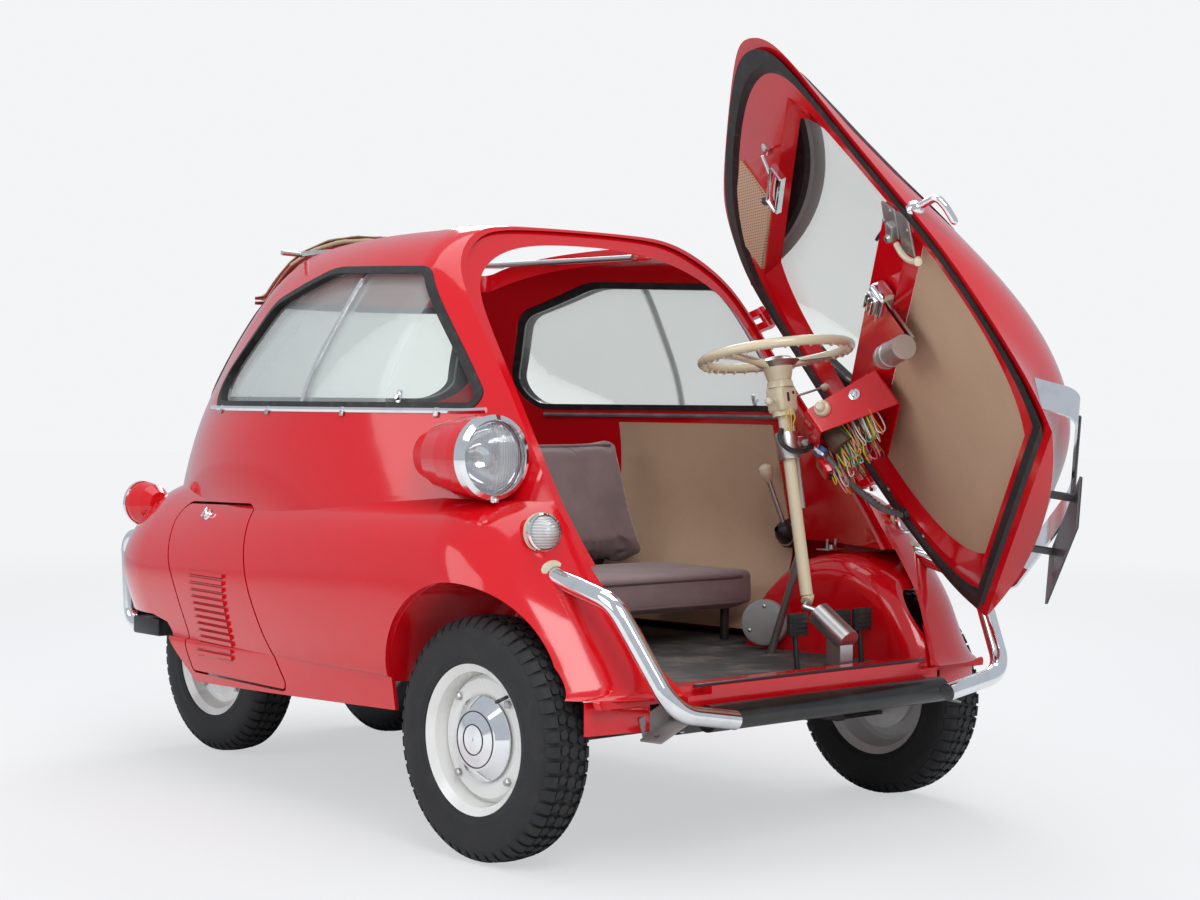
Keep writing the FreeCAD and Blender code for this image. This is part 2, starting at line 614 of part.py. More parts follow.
frame.append(cylinder(30, Vector(-395, FRONT_AXLE_Y, AXLE_BEAM_Z), Vector(395, FRONT_AXLE_Y, AXLE_BEAM_Z)))
frame += [box(s * FRAME_X - 15, s * FRAME_X + 15, FRONT_AXLE_Y - 30, FRONT_AXLE_Y + 30, AXLE_BEAM_Z, 300)
          for s in (-1, 1)]
frame += [box(s * x - 30, s * x + 30, y - 30, y + 30, JACK_PAD_Z, FRAME_Z - 12)
          for s in (-1, 1) for x, y in ((265, -540), (285, 120))]
add("chassis_frame", joined(frame))


def front_suspension(sign):
    """Two links to the kingpin, and the spring leg above them."""
    y = FRONT_AXLE_Y
    z = TYRE_RADIUS
    links = [box(395.3, KINGPIN_X + 12, y - 16, y + 16, z + dz - 4, z + dz + 4) for dz in (-53, 53)]
    root = box(395.3, 420, y - 28, y + 28, z - 57, z + 57)
    pin = cylinder(KINGPIN_RADIUS, Vector(KINGPIN_X, y, z - 57), Vector(KINGPIN_X, y, z + 57))
    leg = cylinder(25, Vector(446, y, z + 55), Vector(446, y, 520))
    stem = cylinder(10, Vector(446, y, 515), Vector(446, y, 561))
    solid = joined(links + [root, pin, leg, stem])
    return solid if sign > 0 else mirrored(solid)


add("front_suspension", Part.makeCompound([front_suspension(1), front_suspension(-1)]))
housing = tube(34, AXLE_RADIUS + RUNNING, Vector(-150, REAR_AXLE_Y, TYRE_RADIUS), Vector(150, REAR_AXLE_Y, TYRE_RADIUS))
springs = [box(s * 150 - 22, s * 150 + 22, 380, REAR_AXLE_Y, 262, FRAME_Z - FRAME_TUBE - SEAT_GAP) for s in (-1, 1)]
case = box(-60, 0, 470, 800, 205, FRAME_Z - CROSS_TUBE - SEAT_GAP)
shaft_hole = cylinder(AXLE_RADIUS + RUNNING, Vector(-200, REAR_AXLE_Y, TYRE_RADIUS), Vector(200, REAR_AXLE_Y, TYRE_RADIUS))
add("rear_suspension", joined([housing] + springs + [case]).cut(shaft_hole))
engine = box(-470, -FRAME_X - FRAME_TUBE - SEAT_GAP, 170, 488, 235, 560)
engine = engine.makeFillet(25, [e for e in engine.Edges if e.BoundBox.ZLength > 100])
add("engine_block", engine)
muffler = cylinder(42, Vector(-150, 920, 312), Vector(150, 920, 312))
pipe = bent_rod(17, [Vector(-100, 600, 262), Vector(-100, 665, 330), Vector(-100, 800, 335), Vector(-100, 910, 312)], 50)
add("exhaust", joined([muffler, pipe]))

# Seat
cushion = box(-500, 500, -430, -60, 440, 515)
cushion = cushion.makeFillet(26, cushion.Edges)
add("seat_cushion", cushion)
BACK_FOOT = Vector(-500, 52, 480)
BACK_TOP = Vector(-500, 128, 800)
back_profile = [Vector(-500, -58, 517), BACK_FOOT, BACK_TOP, Vector(-500, 100, 830), Vector(-500, 55, 820)]
add("seat_back", rounded_prism(back_profile, [20, 20, 20, 15, 25], Vector(1000, 0, 0)))
SEAT_TUBE = 11.0
rail_z = 440 - SEAT_GAP - SEAT_TUBE
rails = [cylinder(SEAT_TUBE, Vector(-470, y, rail_z), Vector(470, y, rail_z)) for y in (-380, 60)]
legs = [cylinder(SEAT_TUBE, Vector(x, y, FLOOR_Z + FLOOR_THICK + SEAT_GAP), Vector(x, y, rail_z))
        for x in (-430, 430) for y in (-380, 60)]
back_way = (BACK_TOP - BACK_FOOT).normalize()
strut_foot = BACK_FOOT + Vector(0, back_way.z, -back_way.y) * (SEAT_TUBE + SEAT_GAP)
struts = [cylinder(SEAT_TUBE, strut_foot + Vector(x, 0, 0) - back_way * 55, strut_foot + Vector(x, 0, 0) + back_way * 290)
          for x in (200, 800)]
sides = [cylinder(SEAT_TUBE, Vector(x, -380, rail_z), Vector(x, 60, rail_z)) for x in (-430, 430)]
add("seat_frame", joined(rails + legs + struts + sides))

# Lamps
LAMP_RADIUS = 86.0
LAMP_AT = Vector(575, -700, 800)
LAMP_WAY = Vector(0.06, -1, 0)


def domed(radius, depth, thick, start):
    """A shallow glass dome whose rim lies at z = start."""
    ball = (radius ** 2 + depth ** 2) / (2 * depth)
    outer = Part.makeSphere(ball, Vector(0, 0, start + depth - ball))
    inner = Part.makeSphere(ball - thick, Vector(0, 0, start + depth - ball))
    slab = Part.makeCylinder(radius, depth + 1, Vector(0, 0, start))
    return outer.cut(inner).common(slab)


bucket = turned([(0, -240), (26, -232), (52, -195), (70, -140), (80, -80), (84, -30), (84, 0), (76, 0), (60, -60), (0, -90)])
ring = turned([(84, 0.3), (88, 4), (86, 20), (76, 26), (74, 22), (78, 14), (78, 0.3)])
lamp_lens = domed(77.5, 16, 4, 4)
add("headlamp_buckets", both(largest(aimed(bucket, LAMP_AT, LAMP_WAY).cut(body_clear))))
add("headlamp_rings", both(aimed(ring, LAMP_AT, LAMP_WAY)))
add("headlamp_lenses", both(aimed(lamp_lens, LAMP_AT, LAMP_WAY)))
SIGNAL_AT = Vector(548, -838, 655)
SIGNAL_WAY = Vector(0.15, -1, 0.1)
signal_pod = turned([(0, -60), (30, -60), (33, -20), (34, 0), (0, 0)])
signal_lens = turned([(0, 3), (30, 0.3), (34, 0.3), (33, 8), (28, 14), (14, 30), (6, 35), (0, 36)])
add("turn_signal_lenses", both(largest(aimed(signal_lens, SIGNAL_AT, SIGNAL_WAY).cut(body_clear))))
TAIL_AT = Vector(430, 905, 642)
TAIL_WAY = Vector(0.1, 1, 0)
tail_pod = turned([(0, -85), (30, -78), (48, -55), (55, -20), (54, 0), (0, 0)])
tail_lens = turned([(0, 0.3), (50, 0.3), (50, 8), (40, 14), (0, 20)])
small_pods = [largest(aimed(signal_pod, SIGNAL_AT, SIGNAL_WAY).cut(body_clear)),
              largest(aimed(tail_pod, TAIL_AT, TAIL_WAY).cut(body_clear))]
add("lamp_pods", Part.makeCompound(small_pods + [mirrored(pod) for pod in small_pods]))
add("tail_lamp_lenses", both(largest(aimed(tail_lens, TAIL_AT, TAIL_WAY).cut(body_clear))))

# Bumper tubes, and the black bars that they end on
BUMPER_TUBE = 19.0
BAR_RADIUS = 27.0
FRONT_BAR_Y = SILL_FRONT_Y - SEAT_GAP - BAR_RADIUS
FRONT_BAR_Z = 300.0
bumper_y = FRONT_BAR_Y - BAR_RADIUS - SEAT_GAP - BUMPER_TUBE
front_bumper = bent_rod(BUMPER_TUBE, [Vector(546, -840, 578), Vector(550, -1050, 530), Vector(500, -1165, 330),
                                      Vector(325, bumper_y, FRONT_BAR_Z)], 70)
add("front_bumpers", both(largest(front_bumper.cut(body_clear))))
REAR_BAR_X = 365.0
REAR_BAR_Y = 1035.0
REAR_BAR_Z = 334.0
rear_x = REAR_BAR_X + SEAT_GAP + BUMPER_TUBE
rear_bumper = bent_rod(BUMPER_TUBE, [Vector(rear_x + 6, 880, 560), Vector(rear_x + 4, REAR_BAR_Y + 12, 545),
                                     Vector(rear_x, REAR_BAR_Y, 318), Vector(rear_x, 945, 318)], 40)
add("rear_bumpers", both(largest(rear_bumper.cut(body_clear))))
rear_bar = box(-REAR_BAR_X, REAR_BAR_X, REAR_BAR_Y - 30, REAR_BAR_Y + 30, REAR_BAR_Z - 33, REAR_BAR_Z + 33)
rear_bar = rear_bar.makeFillet(12, [e for e in rear_bar.Edges if e.BoundBox.XLength > 100])
front_bar = cylinder(BAR_RADIUS, Vector(-355, FRONT_BAR_Y, FRONT_BAR_Z), Vector(355, FRONT_BAR_Y, FRONT_BAR_Z))
add("bumper_bars", Part.makeCompound([front_bar, rear_bar]))

# Engine hatch in the right-hand side
HATCH_GAP = 6.0
HATCH_SKIN = 8.0
LOUVRES = 13
LOUVRE_PITCH = 16.0
LOUVRE_HIGH = 9.0
LOUVRE_SLOT = 2.5
LOUVRE_PROUD = 6.0
LOUVRE_FOOT_Z = 312.0
# The louvred field: front y and rear y at its foot and at its top
LOUVRE_FOOT_Y = (175, 345)
LOUVRE_TOP_Y = (160, 335)
hatch_back = lofted(LOWER_SECTIONS, HATCH_SKIN)
louvre_face = lofted(LOWER_SECTIONS, -LOUVRE_PROUD)
hatch = side_prism(HATCH, -900, -300, HATCH_GAP).common(lower_outer).cut(hatch_back)
hatch = largest(hatch.cut(underside))
hoods = []
slots = []
for row in range(LOUVRES):
    z = LOUVRE_FOOT_Z + row * LOUVRE_PITCH
    share = row / (LOUVRES - 1)
    y0 = LOUVRE_FOOT_Y[0] + (LOUVRE_TOP_Y[0] - LOUVRE_FOOT_Y[0]) * share
    y1 = LOUVRE_FOOT_Y[1] + (LOUVRE_TOP_Y[1] - LOUVRE_FOOT_Y[1]) * share
    hoods.append(box(-900, -300, y0, y1, z, z + LOUVRE_HIGH))
    slots.append(box(-900, -300, y0 + 3, y1 - 3, z - LOUVRE_SLOT, z))
hood_skin = louvre_face.common(box(-900, -300, 100, 450, 280, 560)).cut(lofted(LOWER_SECTIONS, 1.0))
hatch = hatch.cut(slots).fuse([hood_skin.common(hood) for hood in hoods])
add("engine_hatch", largest(hatch))

# Folded canvas behind the roof opening, and the two arms that carry it along the opening's sides
canvas_outer = lofted(CABIN_SECTIONS, -34.0, -34.0)
canvas_inner = lofted(CABIN_SECTIONS, -RUBBER_PROUD - 0.7, -RUBBER_PROUD - 0.7)
canvas = box(-300, 300, 445, 620, 1150, 1400).common(canvas_outer).cut(canvas_inner)
add("roof_canvas", canvas)
ARM_X = 290.0
arm = joined([cylinder(7, Vector(ARM_X, -190, 1268), Vector(ARM_X, 400, 1272))]
             + [cylinder(6, Vector(ARM_X, y, 1270), Vector(ARM_X + 60, y, 1272)) for y in (-170, 120, 380)])
arm = largest(arm.cut(body))
add("roof_arms", both(arm))

# Steering: gear on the floor, universal joint, and the column that leans with the door
column_way = (COLUMN_TOP - COLUMN_PIVOT).normalize()
shut_clamp = FreeCAD.Rotation(HINGE_HIGH - HINGE_LOW, -DOOR_OPEN_DEG).multVec(
    COLUMN_PIVOT + column_way * CLAMP_ALONG - HINGE_LOW) + HINGE_LOW
shut_way = (shut_clamp - COLUMN_PIVOT).normalize()
cone = math.radians(COLUMN_CONE_DEG)
TILT_WAY = (column_way.cross(shut_way).normalize() * math.cos(cone)
            - (column_way + shut_way).normalize() * math.sin(cone))
EYE_RADIUS = 13.0
EYE_FAR = 12.0
EYE_NEAR = 6.0
PIN_RADIUS = 5.0
PIN_REACH = 22.0
gear_high = COLUMN_PIVOT + Vector(0, -35, -27)
gear_low = gear_high + Vector(0, -85, -55)
gear = [cylinder(27, gear_low, gear_high),
        box(COLUMN_X - 20, COLUMN_X + 20, gear_low.y + 5, gear_low.y + 45, FLOOR_Z + FLOOR_THICK + SEAT_GAP, 410),
        cylinder(PIN_RADIUS, COLUMN_PIVOT - TILT_WAY * EYE_NEAR, COLUMN_PIVOT + TILT_WAY * PIN_REACH),
        cylinder(7, COLUMN_PIVOT + TILT_WAY * PIN_REACH, gear_high + Vector(0, 6, 4)),
        Part.makeSphere(7, COLUMN_PIVOT + TILT_WAY * PIN_REACH)]
add("steering_gear", joined(gear))
column = joined([cylinder(14, COLUMN_PIVOT + column_way * 10, COLUMN_TOP - column_way * 30),
                 cylinder(EYE_RADIUS, COLUMN_PIVOT - TILT_WAY * EYE_FAR, COLUMN_PIVOT + TILT_WAY * EYE_NEAR),
                 cylinder(22, COLUMN_PIVOT + column_way * (CLAMP_ALONG - 25), COLUMN_PIVOT + column_way * (CLAMP_ALONG + 25)),
                 cylinder(25, COLUMN_TOP - column_way * 110, COLUMN_TOP - column_way * 60)])
pin_bore = cylinder(PIN_RADIUS + RUNNING, COLUMN_PIVOT - TILT_WAY * (EYE_NEAR + SEAT_GAP), COLUMN_PIVOT + TILT_WAY * 30)
add("steering_column", column.cut(pin_bore))
WHEEL_RADIUS = 165.0
GRIP_RADIUS = 11.0
grip = Part.makeTorus(WHEEL_RADIUS, GRIP_RADIUS, Vector(0, 0, 30))
hub = turned([(0, -29.7), (26, -29.7), (34, 0), (30, 18), (0, 24)])
spokes = [cylinder(9, Vector(s * 20, 0, 4), Vector(s * (WHEEL_RADIUS - 8), 0, 30)) for s in (-1, 1)]
add("steering_wheel", aimed(joined([grip, hub] + spokes), COLUMN_TOP, column_way))

# Pedals and levers stand on the floor and the side wall
floor_top = FLOOR_Z + FLOOR_THICK + SEAT_GAP
pedals = [joined([cylinder(6, Vector(x, -905, floor_top), Vector(x, -895, 430)),
                  box(x - 25, x + 25, -905, -897, 415, 460)]) for x in (120, 260, 330)]
pedals = [pedal.common(box(0, 600, -1000, -800, floor_top, 600)) for pedal in pedals]
add("pedals", Part.makeCompound(pedals))
wall_clear = lofted(CABIN_SECTIONS, CABIN_WALL + SEAT_GAP + 3 + SEAT_GAP)
boot = cylinder(30, Vector(640, -470, 597), Vector(545, -470, 597)).common(wall_clear)
gear_lever = joined([boot, cylinder(6, Vector(552, -470, 597), Vector(500, -450, 740)),
                     Part.makeSphere(16, Vector(499, -450, 746))])
handbrake = joined([cylinder(9, Vector(300, -655, floor_top - 5), Vector(300, -735, 545)),
                    cylinder(12, Vector(300, -728, 528), Vector(300, -750, 580))])
handbrake = handbrake.common(box(200, 400, -900, -500, floor_top, 700))
add("hand_levers", Part.makeCompound([gear_lever, handbrake]))

# Pieces on the door, drawn shut: the outer ones seat on its skin
rim_face = SHUT_GAP / 2 - SEAT_GAP
handle = joined([cylinder(18, Vector(-430, -735, 785), Vector(-458, -756, 787)),
                 bent_rod(8, [Vector(-450, -750, 786), Vector(-492, -781, 788), Vector(-470, -822, 752)], 16)])
add("door_handle", opened(largest(handle.cut(skin_clear))))
blade_path = [(-372, -990), (-350, -1108), (0, -1162), (350, -1108), (372, -990)]
blade_out = [Vector(x, y, 425) for x, y in blade_path]
blade_in = [Vector(x * 0.988, y + 5, 425) for x, y in reversed(blade_path)]
blade = rounded_prism(blade_out + blade_in, [1.5, 45, 300, 45, 1.5, 1.5, 40, 290, 40, 1.5], Vector(0, 0, 65))
add("nose_bar", opened(largest(blade.cut(skin_clear))))
plate = box(-160, 160, -1152, -1148, 300, 418)
brackets = [box(x - 12, x + 12, -1149, -1090, 395, 399) for x in (-110, 110)]
plate = joined([plate] + brackets)
add("number_plate", opened(largest(plate.cut(skin_clear))))
visor = half_space(rim_face, False).common(half_space(rim_face - 6, True))
visor_room = lofted(CABIN_SECTIONS, CABIN_WALL + 6, CABIN_WALL + 6)
visor = visor.common(visor_room).common(box(50, 300, -900, 0, 1140, 1245))
add("sun_visor", opened(visor))
mirror_foot = on_plane(-95, 1172, rim_face)
mirror_bend = on_plane(-150, 1130, -45)
mirror_head = on_plane(-110, 1080, -45)
mirror = joined([cylinder(14, mirror_foot, mirror_foot - SHUT_NORMAL * 8),
                 cylinder(4, mirror_foot - SHUT_NORMAL * 4, mirror_bend),
                 cylinder(4, mirror_bend, mirror_head),
                 aimed(Part.makeBox(120, 45, 12, Vector(-60, -22, -6)), mirror_head, SHUT_NORMAL)])
add("mirror", opened(mirror))
motor_near = on_plane(-36, 730, -30)
motor_far = on_plane(-142, 690, -30)
wiper_motor = joined([cylinder(26, motor_near, motor_far),
                      prism([on_plane(-40, 715, rim_face), on_plane(-140, 700, rim_face), on_plane(-140, 800, rim_face),
                             on_plane(-40, 800, rim_face)], SHUT_NORMAL * -6)])
add("wiper_motor", opened(wiper_motor))
POD_WALL = 3.0
# Seen along the door's plane: x, distance ahead of the plane and corner radius
POD_PLAN = [(100, 2.7, 5), (330, 2.7, 5), (322, -90, 30), (290, -155, 12), (190, -155, 14)]
# Seen from the car's side: distance ahead of the plane and height along it
POD_SIDE = [(2.7, 695), (2.7, 772), (-200, 796), (-200, 754)]


def pod_solid(shrink, sides):
    plan = shrunk_prism(POD_PLAN, shrink, lambda x, ahead: on_plane(x, 600, ahead), SHUT_SLOPE * 400)
    return plan.common(prism([on_plane(0, along, ahead) for ahead, along in sides], Vector(500, 0, 0)))


(foot_ahead, foot_low), (_, foot_high), (nose_ahead, nose_high), (_, nose_low) = POD_SIDE
pod_room = [(foot_ahead, foot_low - 90), (foot_ahead, foot_high - POD_WALL), (nose_ahead, nose_high - POD_WALL),
            (nose_ahead, nose_low - 90)]
pod = pod_solid(0.0, POD_SIDE).cut(pod_solid(POD_WALL, pod_room))
add("instrument_pod", opened(largest(pod)))

# Door hinges: two ears on the pillar's skin and the door's leaf between them, on one pin
HINGE_RADIUS = 11.0
HINGE_PIN = 6.0
hinge_way = (HINGE_HIGH - HINGE_LOW).normalize()


def hinge_arm(at, target, a, b):
    """A plate from the hinge line at one height to a point inside the skin."""
    way = target - at
    way = (way - hinge_way * way.dot(hinge_way)).normalize()
    side = hinge_way.cross(way) * (HINGE_RADIUS - 3)
    reach = way * 75
    foot = at + hinge_way * a
    plate = prism([foot + side, foot - side, foot - side + reach, foot + side + reach], hinge_way * (b - a))
    ear = cylinder(HINGE_RADIUS, foot, at + hinge_way * b)
    return plate.fuse(ear)


hinge_seat = lofted(CABIN_SECTIONS, -0.6, -0.6)
body_hinges = []
door_hinges = []
for z, edge_half in ((752, 461), (1120, 423)):
    at = HINGE_LOW + hinge_way * ((z - HINGE_LOW.z) / hinge_way.z)
    on_body = Vector(edge_half, shut_y(z) + 30, z)
    on_door = Vector(edge_half - 16, shut_y(z) - 34, z)
    pin = cylinder(HINGE_PIN, at - hinge_way * 28, at + hinge_way * 28)
    bore = cylinder(HINGE_PIN + RUNNING, at - hinge_way * 40, at + hinge_way * 40)
    ears = [hinge_arm(at, on_body, a, b) for a, b in ((-28, -10), (10, 28))]
    body_hinges.append(largest(joined([pin] + ears).cut([hinge_seat, body_clear])))
    door_hinges.append(largest(hinge_arm(at, on_door, -9, 9).cut([skin_clear, bore])))
add("door_hinge_pins", Part.makeCompound(body_hinges))
add("door_hinge_leaves", opened(Part.makeCompound(door_hinges)))

os.makedirs("parts", exist_ok=True)
for name, shape in NODES.items():
    moved = shape.copy()
    moved.translate(ORIGIN * -1)
    moved.exportStep("parts/" + name + ".step")
    bad = [x for x in moved.Solids if not x.isValid()]
    if bad or not moved.Solids:
        print("bad", name)
print(len(NODES), "nodes")
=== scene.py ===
import math
import random
import bmesh
import bpy
from bpy.props import FloatProperty, FloatVectorProperty, IntProperty, PointerProperty
from mathutils import Matrix, Vector
from mathutils.bvhtree import BVHTree


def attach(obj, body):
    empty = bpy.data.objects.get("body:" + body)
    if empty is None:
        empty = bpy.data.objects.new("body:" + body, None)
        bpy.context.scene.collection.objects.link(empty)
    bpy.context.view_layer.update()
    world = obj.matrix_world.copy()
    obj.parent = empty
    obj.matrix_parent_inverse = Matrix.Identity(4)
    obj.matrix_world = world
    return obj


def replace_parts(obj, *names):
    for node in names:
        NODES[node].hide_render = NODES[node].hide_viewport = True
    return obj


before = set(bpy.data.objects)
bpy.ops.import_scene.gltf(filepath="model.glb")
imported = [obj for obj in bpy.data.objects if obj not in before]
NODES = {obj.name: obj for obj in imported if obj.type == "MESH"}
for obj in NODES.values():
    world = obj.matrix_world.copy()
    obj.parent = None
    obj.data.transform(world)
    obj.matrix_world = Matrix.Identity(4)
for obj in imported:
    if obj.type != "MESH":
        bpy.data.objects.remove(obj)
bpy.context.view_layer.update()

bl_info = {
    "name": "Bubble Car Dressing",
    "version": (1, 0, 0),
    "blender": (4, 5, 0),
    "location": "View3D > Sidebar > Bubble Car",
    "description": "Paints and trims the small front-door bubble car around its CAD parts",
    "category": "Object",
}

# The car's own frame: its wheelbase is centred on y = 0, which lies here in the row frame
CAR_Y = 0.252
# Camera: place in the row frame, heading, pitch and roll in radians, and focal length on a 36 mm sensor
CAMERA_AT = Vector((-3.2995, -3.7907, 0.9064))
CAMERA_YAW = 0.73569
CAMERA_PITCH = -0.020845
CAMERA_ROLL = 0.0086625
CAMERA_LENS = 64.44
# Door hinge line in the car's frame and the angle at which the door stands
HINGE_LOW = Vector((0.511, -0.828, 0.670))
HINGE_HIGH = Vector((0.464, -0.448, 1.150))
DOOR_OPEN = math.radians(56.0)
# The shut door's plane: it goes back by this share of its height, from one point of y and z
SHUT_SLOPE = 0.78
SHUT_Y = -1.042
SHUT_Z = 0.380
SHUT_NORMAL = Vector((0.0, -1.0, SHUT_SLOPE)).normalized()
# Steering column from its joint to the wheel's hub
COLUMN_FOOT = Vector((0.188, -0.870, 0.485))
COLUMN_TOP = Vector((0.188, -0.775, 0.993))
FRONT_AXLE_Y = -0.750
REAR_AXLE_Y = 0.750
AXLE_Z = 0.245
FRONT_WHEEL_X = 0.600
REAR_WHEEL_X = 0.260
# Middles of the left-hand lamps, in the car's frame
HEADLAMP_AT = (0.575, -0.700, 0.800)
SIGNAL_AT = (0.548, -0.838, 0.655)
TAIL_LAMP_AT = (0.430, 0.905, 0.642)
# The rear bumper tubes' low ends
REAR_TUBE_X = 0.3844
REAR_TUBE_Z = 0.318
# Height of the window line, where its strips run
WINDOW_LINE_Z = 0.882


def car(x, y, z):
    """A point of the car's own frame, in the row frame."""
    return Vector((x, y + CAR_Y, z))


SWING = (Matrix.Translation(car(*HINGE_LOW)) @ Matrix.Rotation(DOOR_OPEN, 4, HINGE_HIGH - HINGE_LOW)
         @ Matrix.Translation(-car(*HINGE_LOW)))


def shut_y(z):
    """How far back the shut door's plane lies at a height, in the car's frame."""
    return SHUT_Y + SHUT_SLOPE * (z - SHUT_Z)


def plane_point(x, along, ahead=0.0):
    """A point of the shut door's plane, in the car's frame, moved forward of it by ahead."""
    return Vector((x, shut_y(along), along)) + SHUT_NORMAL * ahead


def on_door(x, along, ahead=0.0):
    """A point given on the shut door's plane, where it lies with the door open."""
    return SWING @ car(*plane_point(x, along, ahead))


def door_line(*places):
    """Points of the shut door's plane, each given as x, along and ahead."""
    return [on_door(*place) for place in places]


def door_point(x, y, z):
    """A point of the shut door in the car's frame, where it lies with the door open."""
    return SWING @ car(x, y, z)


class Socket:
    """A shader value; sums and products of it add their Math nodes."""

    def __init__(self, look, link):
        self.look = look
        self.link = link

    def maths(self, operation, first, second):
        return self.look.node("ShaderNodeMath", {"operation": operation}, {0: first, 1: second})["Value"]

    def __add__(self, other):
        return self.maths("ADD", self, other)

    __radd__ = __add__

    def __sub__(self, other):
        return self.maths("SUBTRACT", self, other)

    def __rsub__(self, other):
        return self.maths("SUBTRACT", other, self)

    def __mul__(self, other):
        return self.maths("MULTIPLY", self, other)

    __rmul__ = __mul__

    def __truediv__(self, other):
        return self.maths("DIVIDE", self, other)

    def sine(self):
        return self.maths("SINE", self, 0.0)

    def fraction(self):
        return self.maths("FRACT", self, 0.0)

    def ramp(self, low, high):
        """0 up to low, 1 from high, smooth between."""
        return self.look.node("ShaderNodeMapRange", {"interpolation_type": "SMOOTHSTEP"},
                              {"Value": self, "From Min": low, "From Max": high})["Result"]


class Node:
    """A shader node, whose outputs are taken by name as values."""

    def __init__(self, look, node):
        self.look = look
        self.node = node

    def __getitem__(self, name):
        return Socket(self.look, self.node.outputs[name])


class Look:
    """One material and the few calls that its nodes are made with."""

    def __init__(self, name):
        self.material = bpy.data.materials.new(name)
        self.material.use_nodes = True
        self.tree = self.material.node_tree
        self.tree.nodes.clear()
        self.place = self.node("ShaderNodeTexCoord")["Object"]

    def node(self, kind, settings=None, values=None):
        made = self.tree.nodes.new(kind)
        for name, setting in (settings or {}).items():
            if name == "stops":
                for index, (position, colour) in enumerate(setting):
                    stops = made.color_ramp.elements
                    stop = stops[index] if index < 2 else stops.new(position)
                    stop.position = position
                    stop.color = colour
            else:
                setattr(made, name, setting)
        for name, value in (values or {}).items():
            if isinstance(value, Socket):
                self.tree.links.new(value.link, made.inputs[name])
            else:
                made.inputs[name].default_value = value
        return Node(self, made)

    def noise(self, scale, detail=3.0, roughness=0.55, place=None):
        return self.node("ShaderNodeTexNoise", {},
                         {"Vector": place or self.place, "Scale": scale, "Detail": detail,
                          "Roughness": roughness})["Fac"]

    def cells(self, scale, place=None):
        return self.node("ShaderNodeTexVoronoi", {"feature": "F1"},
                         {"Vector": place or self.place, "Scale": scale})["Distance"]

    def stretched(self, x, y, z, place=None):
        return self.node("ShaderNodeMapping", {}, {"Vector": place or self.place,
                                                   "Scale": (x, y, z)})["Vector"]

    def axis(self, name, place=None):
        return self.node("ShaderNodeSeparateXYZ", {}, {"Vector": place or self.place})[name]

    def mix(self, factor, first, second):
        made = self.node("ShaderNodeMix", {"data_type": "RGBA"}, {0: factor})
        for index, value in ((6, first), (7, second)):
            if isinstance(value, Socket):
                self.tree.links.new(value.link, made.node.inputs[index])
            else:
                made.node.inputs[index].default_value = tuple(value[:3]) + (1.0,)
        return Socket(self, made.node.outputs[2])

    def bump(self, height, distance, strength=1.0, normal=None):
        values = {"Height": height, "Distance": distance, "Strength": strength}
        if normal:
            values["Normal"] = normal
        return self.node("ShaderNodeBump", {}, values)["Normal"]

    def surface(self, colour, values, normal=None):
        """The principled shader with the colour, the values of its sockets and the normal."""
        sockets = {"Base Color": colour if isinstance(colour, Socket) else tuple(colour[:3]) + (1.0,)}
        sockets.update(values)
        if normal:
            sockets["Normal"] = normal
        return self.node("ShaderNodeBsdfPrincipled", {}, sockets)

    def finish(self, shader, output="BSDF"):
        self.node("ShaderNodeOutputMaterial", {}, {"Surface": shader[output]})
        return self.material


def shade(colour, share):
    """The colour made darker (below 1) or lighter (above 1)."""
    return tuple(min(1.0, part * share) for part in colour[:3])


DUST = (0.36, 0.31, 0.25)


def enamel(name, colour, roughness=0.2, coat=0.7, dust=0.3, chips=0.0):
    """Gloss paint: slow shifts of tone, fine orange peel, road dust low down and, where asked, chips."""
    look = Look(name)
    tone = look.mix(look.noise(3.0, 4.0), shade(colour, 0.93), shade(colour, 1.05))
    low = 1.0 - look.axis("Z").ramp(0.12, 0.55)
    grime = low * look.noise(14.0, 6.0).ramp(0.42, 0.72) * dust
    tone = look.mix(grime, tone, DUST)
    if chips:
        worn = look.noise(60.0, 8.0, 0.7).ramp(0.70, 0.74) * chips
        tone = look.mix(worn, tone, shade(colour, 0.45))
    rough = look.noise(5.0, 3.0) * 0.06 + (roughness - 0.03) + grime * 0.5
    normal = look.bump(look.noise(240.0, 2.0), 0.00006, 0.2)
    return look.finish(look.surface(tone, {"Roughness": rough, "Coat Weight": coat, "Coat Roughness": 0.04,
                                           "Coat IOR": 1.5}, normal))


def metal(name, colour, roughness=0.08, brushed=0.0, haze=0.05, bump=0.0):
    """Chrome or bare metal: faint haze, optional brushing and casting grain."""
    look = Look(name)
    smear = look.noise(9.0, 5.0)
    rough = smear * haze + roughness
    tone = look.mix(look.noise(26.0, 4.0).ramp(0.45, 0.8), colour, shade(colour, 0.86))
    normal = look.bump(look.noise(420.0, 2.0), 0.00008, 0.2)
    if brushed:
        lines = look.noise(220.0, 2.0, 0.6, look.stretched(1.0, 1.0, 0.04))
        normal = look.bump(lines, 0.0002, brushed, normal)
    if bump:
        normal = look.bump(look.noise(160.0, 5.0), 0.0006, bump, normal)
    return look.finish(look.surface(tone, {"Metallic": 1.0, "Roughness": rough}, normal))


def rubber(name, colour, roughness=0.62, dust=0.25, grain=0.4):
    """Black rubber: dull, a little grey where it is rubbed, dusty in patches."""
    look = Look(name)
    rubbed = look.noise(18.0, 6.0).ramp(0.35, 0.75)
    tone = look.mix(rubbed, colour, shade(colour, 1.7))
    dusty = look.noise(40.0, 8.0, 0.7).ramp(0.48, 0.75) * dust
    tone = look.mix(dusty, tone, DUST)
    rough = rubbed * 0.12 + roughness
    normal = look.bump(look.noise(520.0, 3.0), 0.0002, grain)
    return look.finish(look.surface(tone, {"Roughness": rough, "Specular IOR Level": 0.4}, normal))


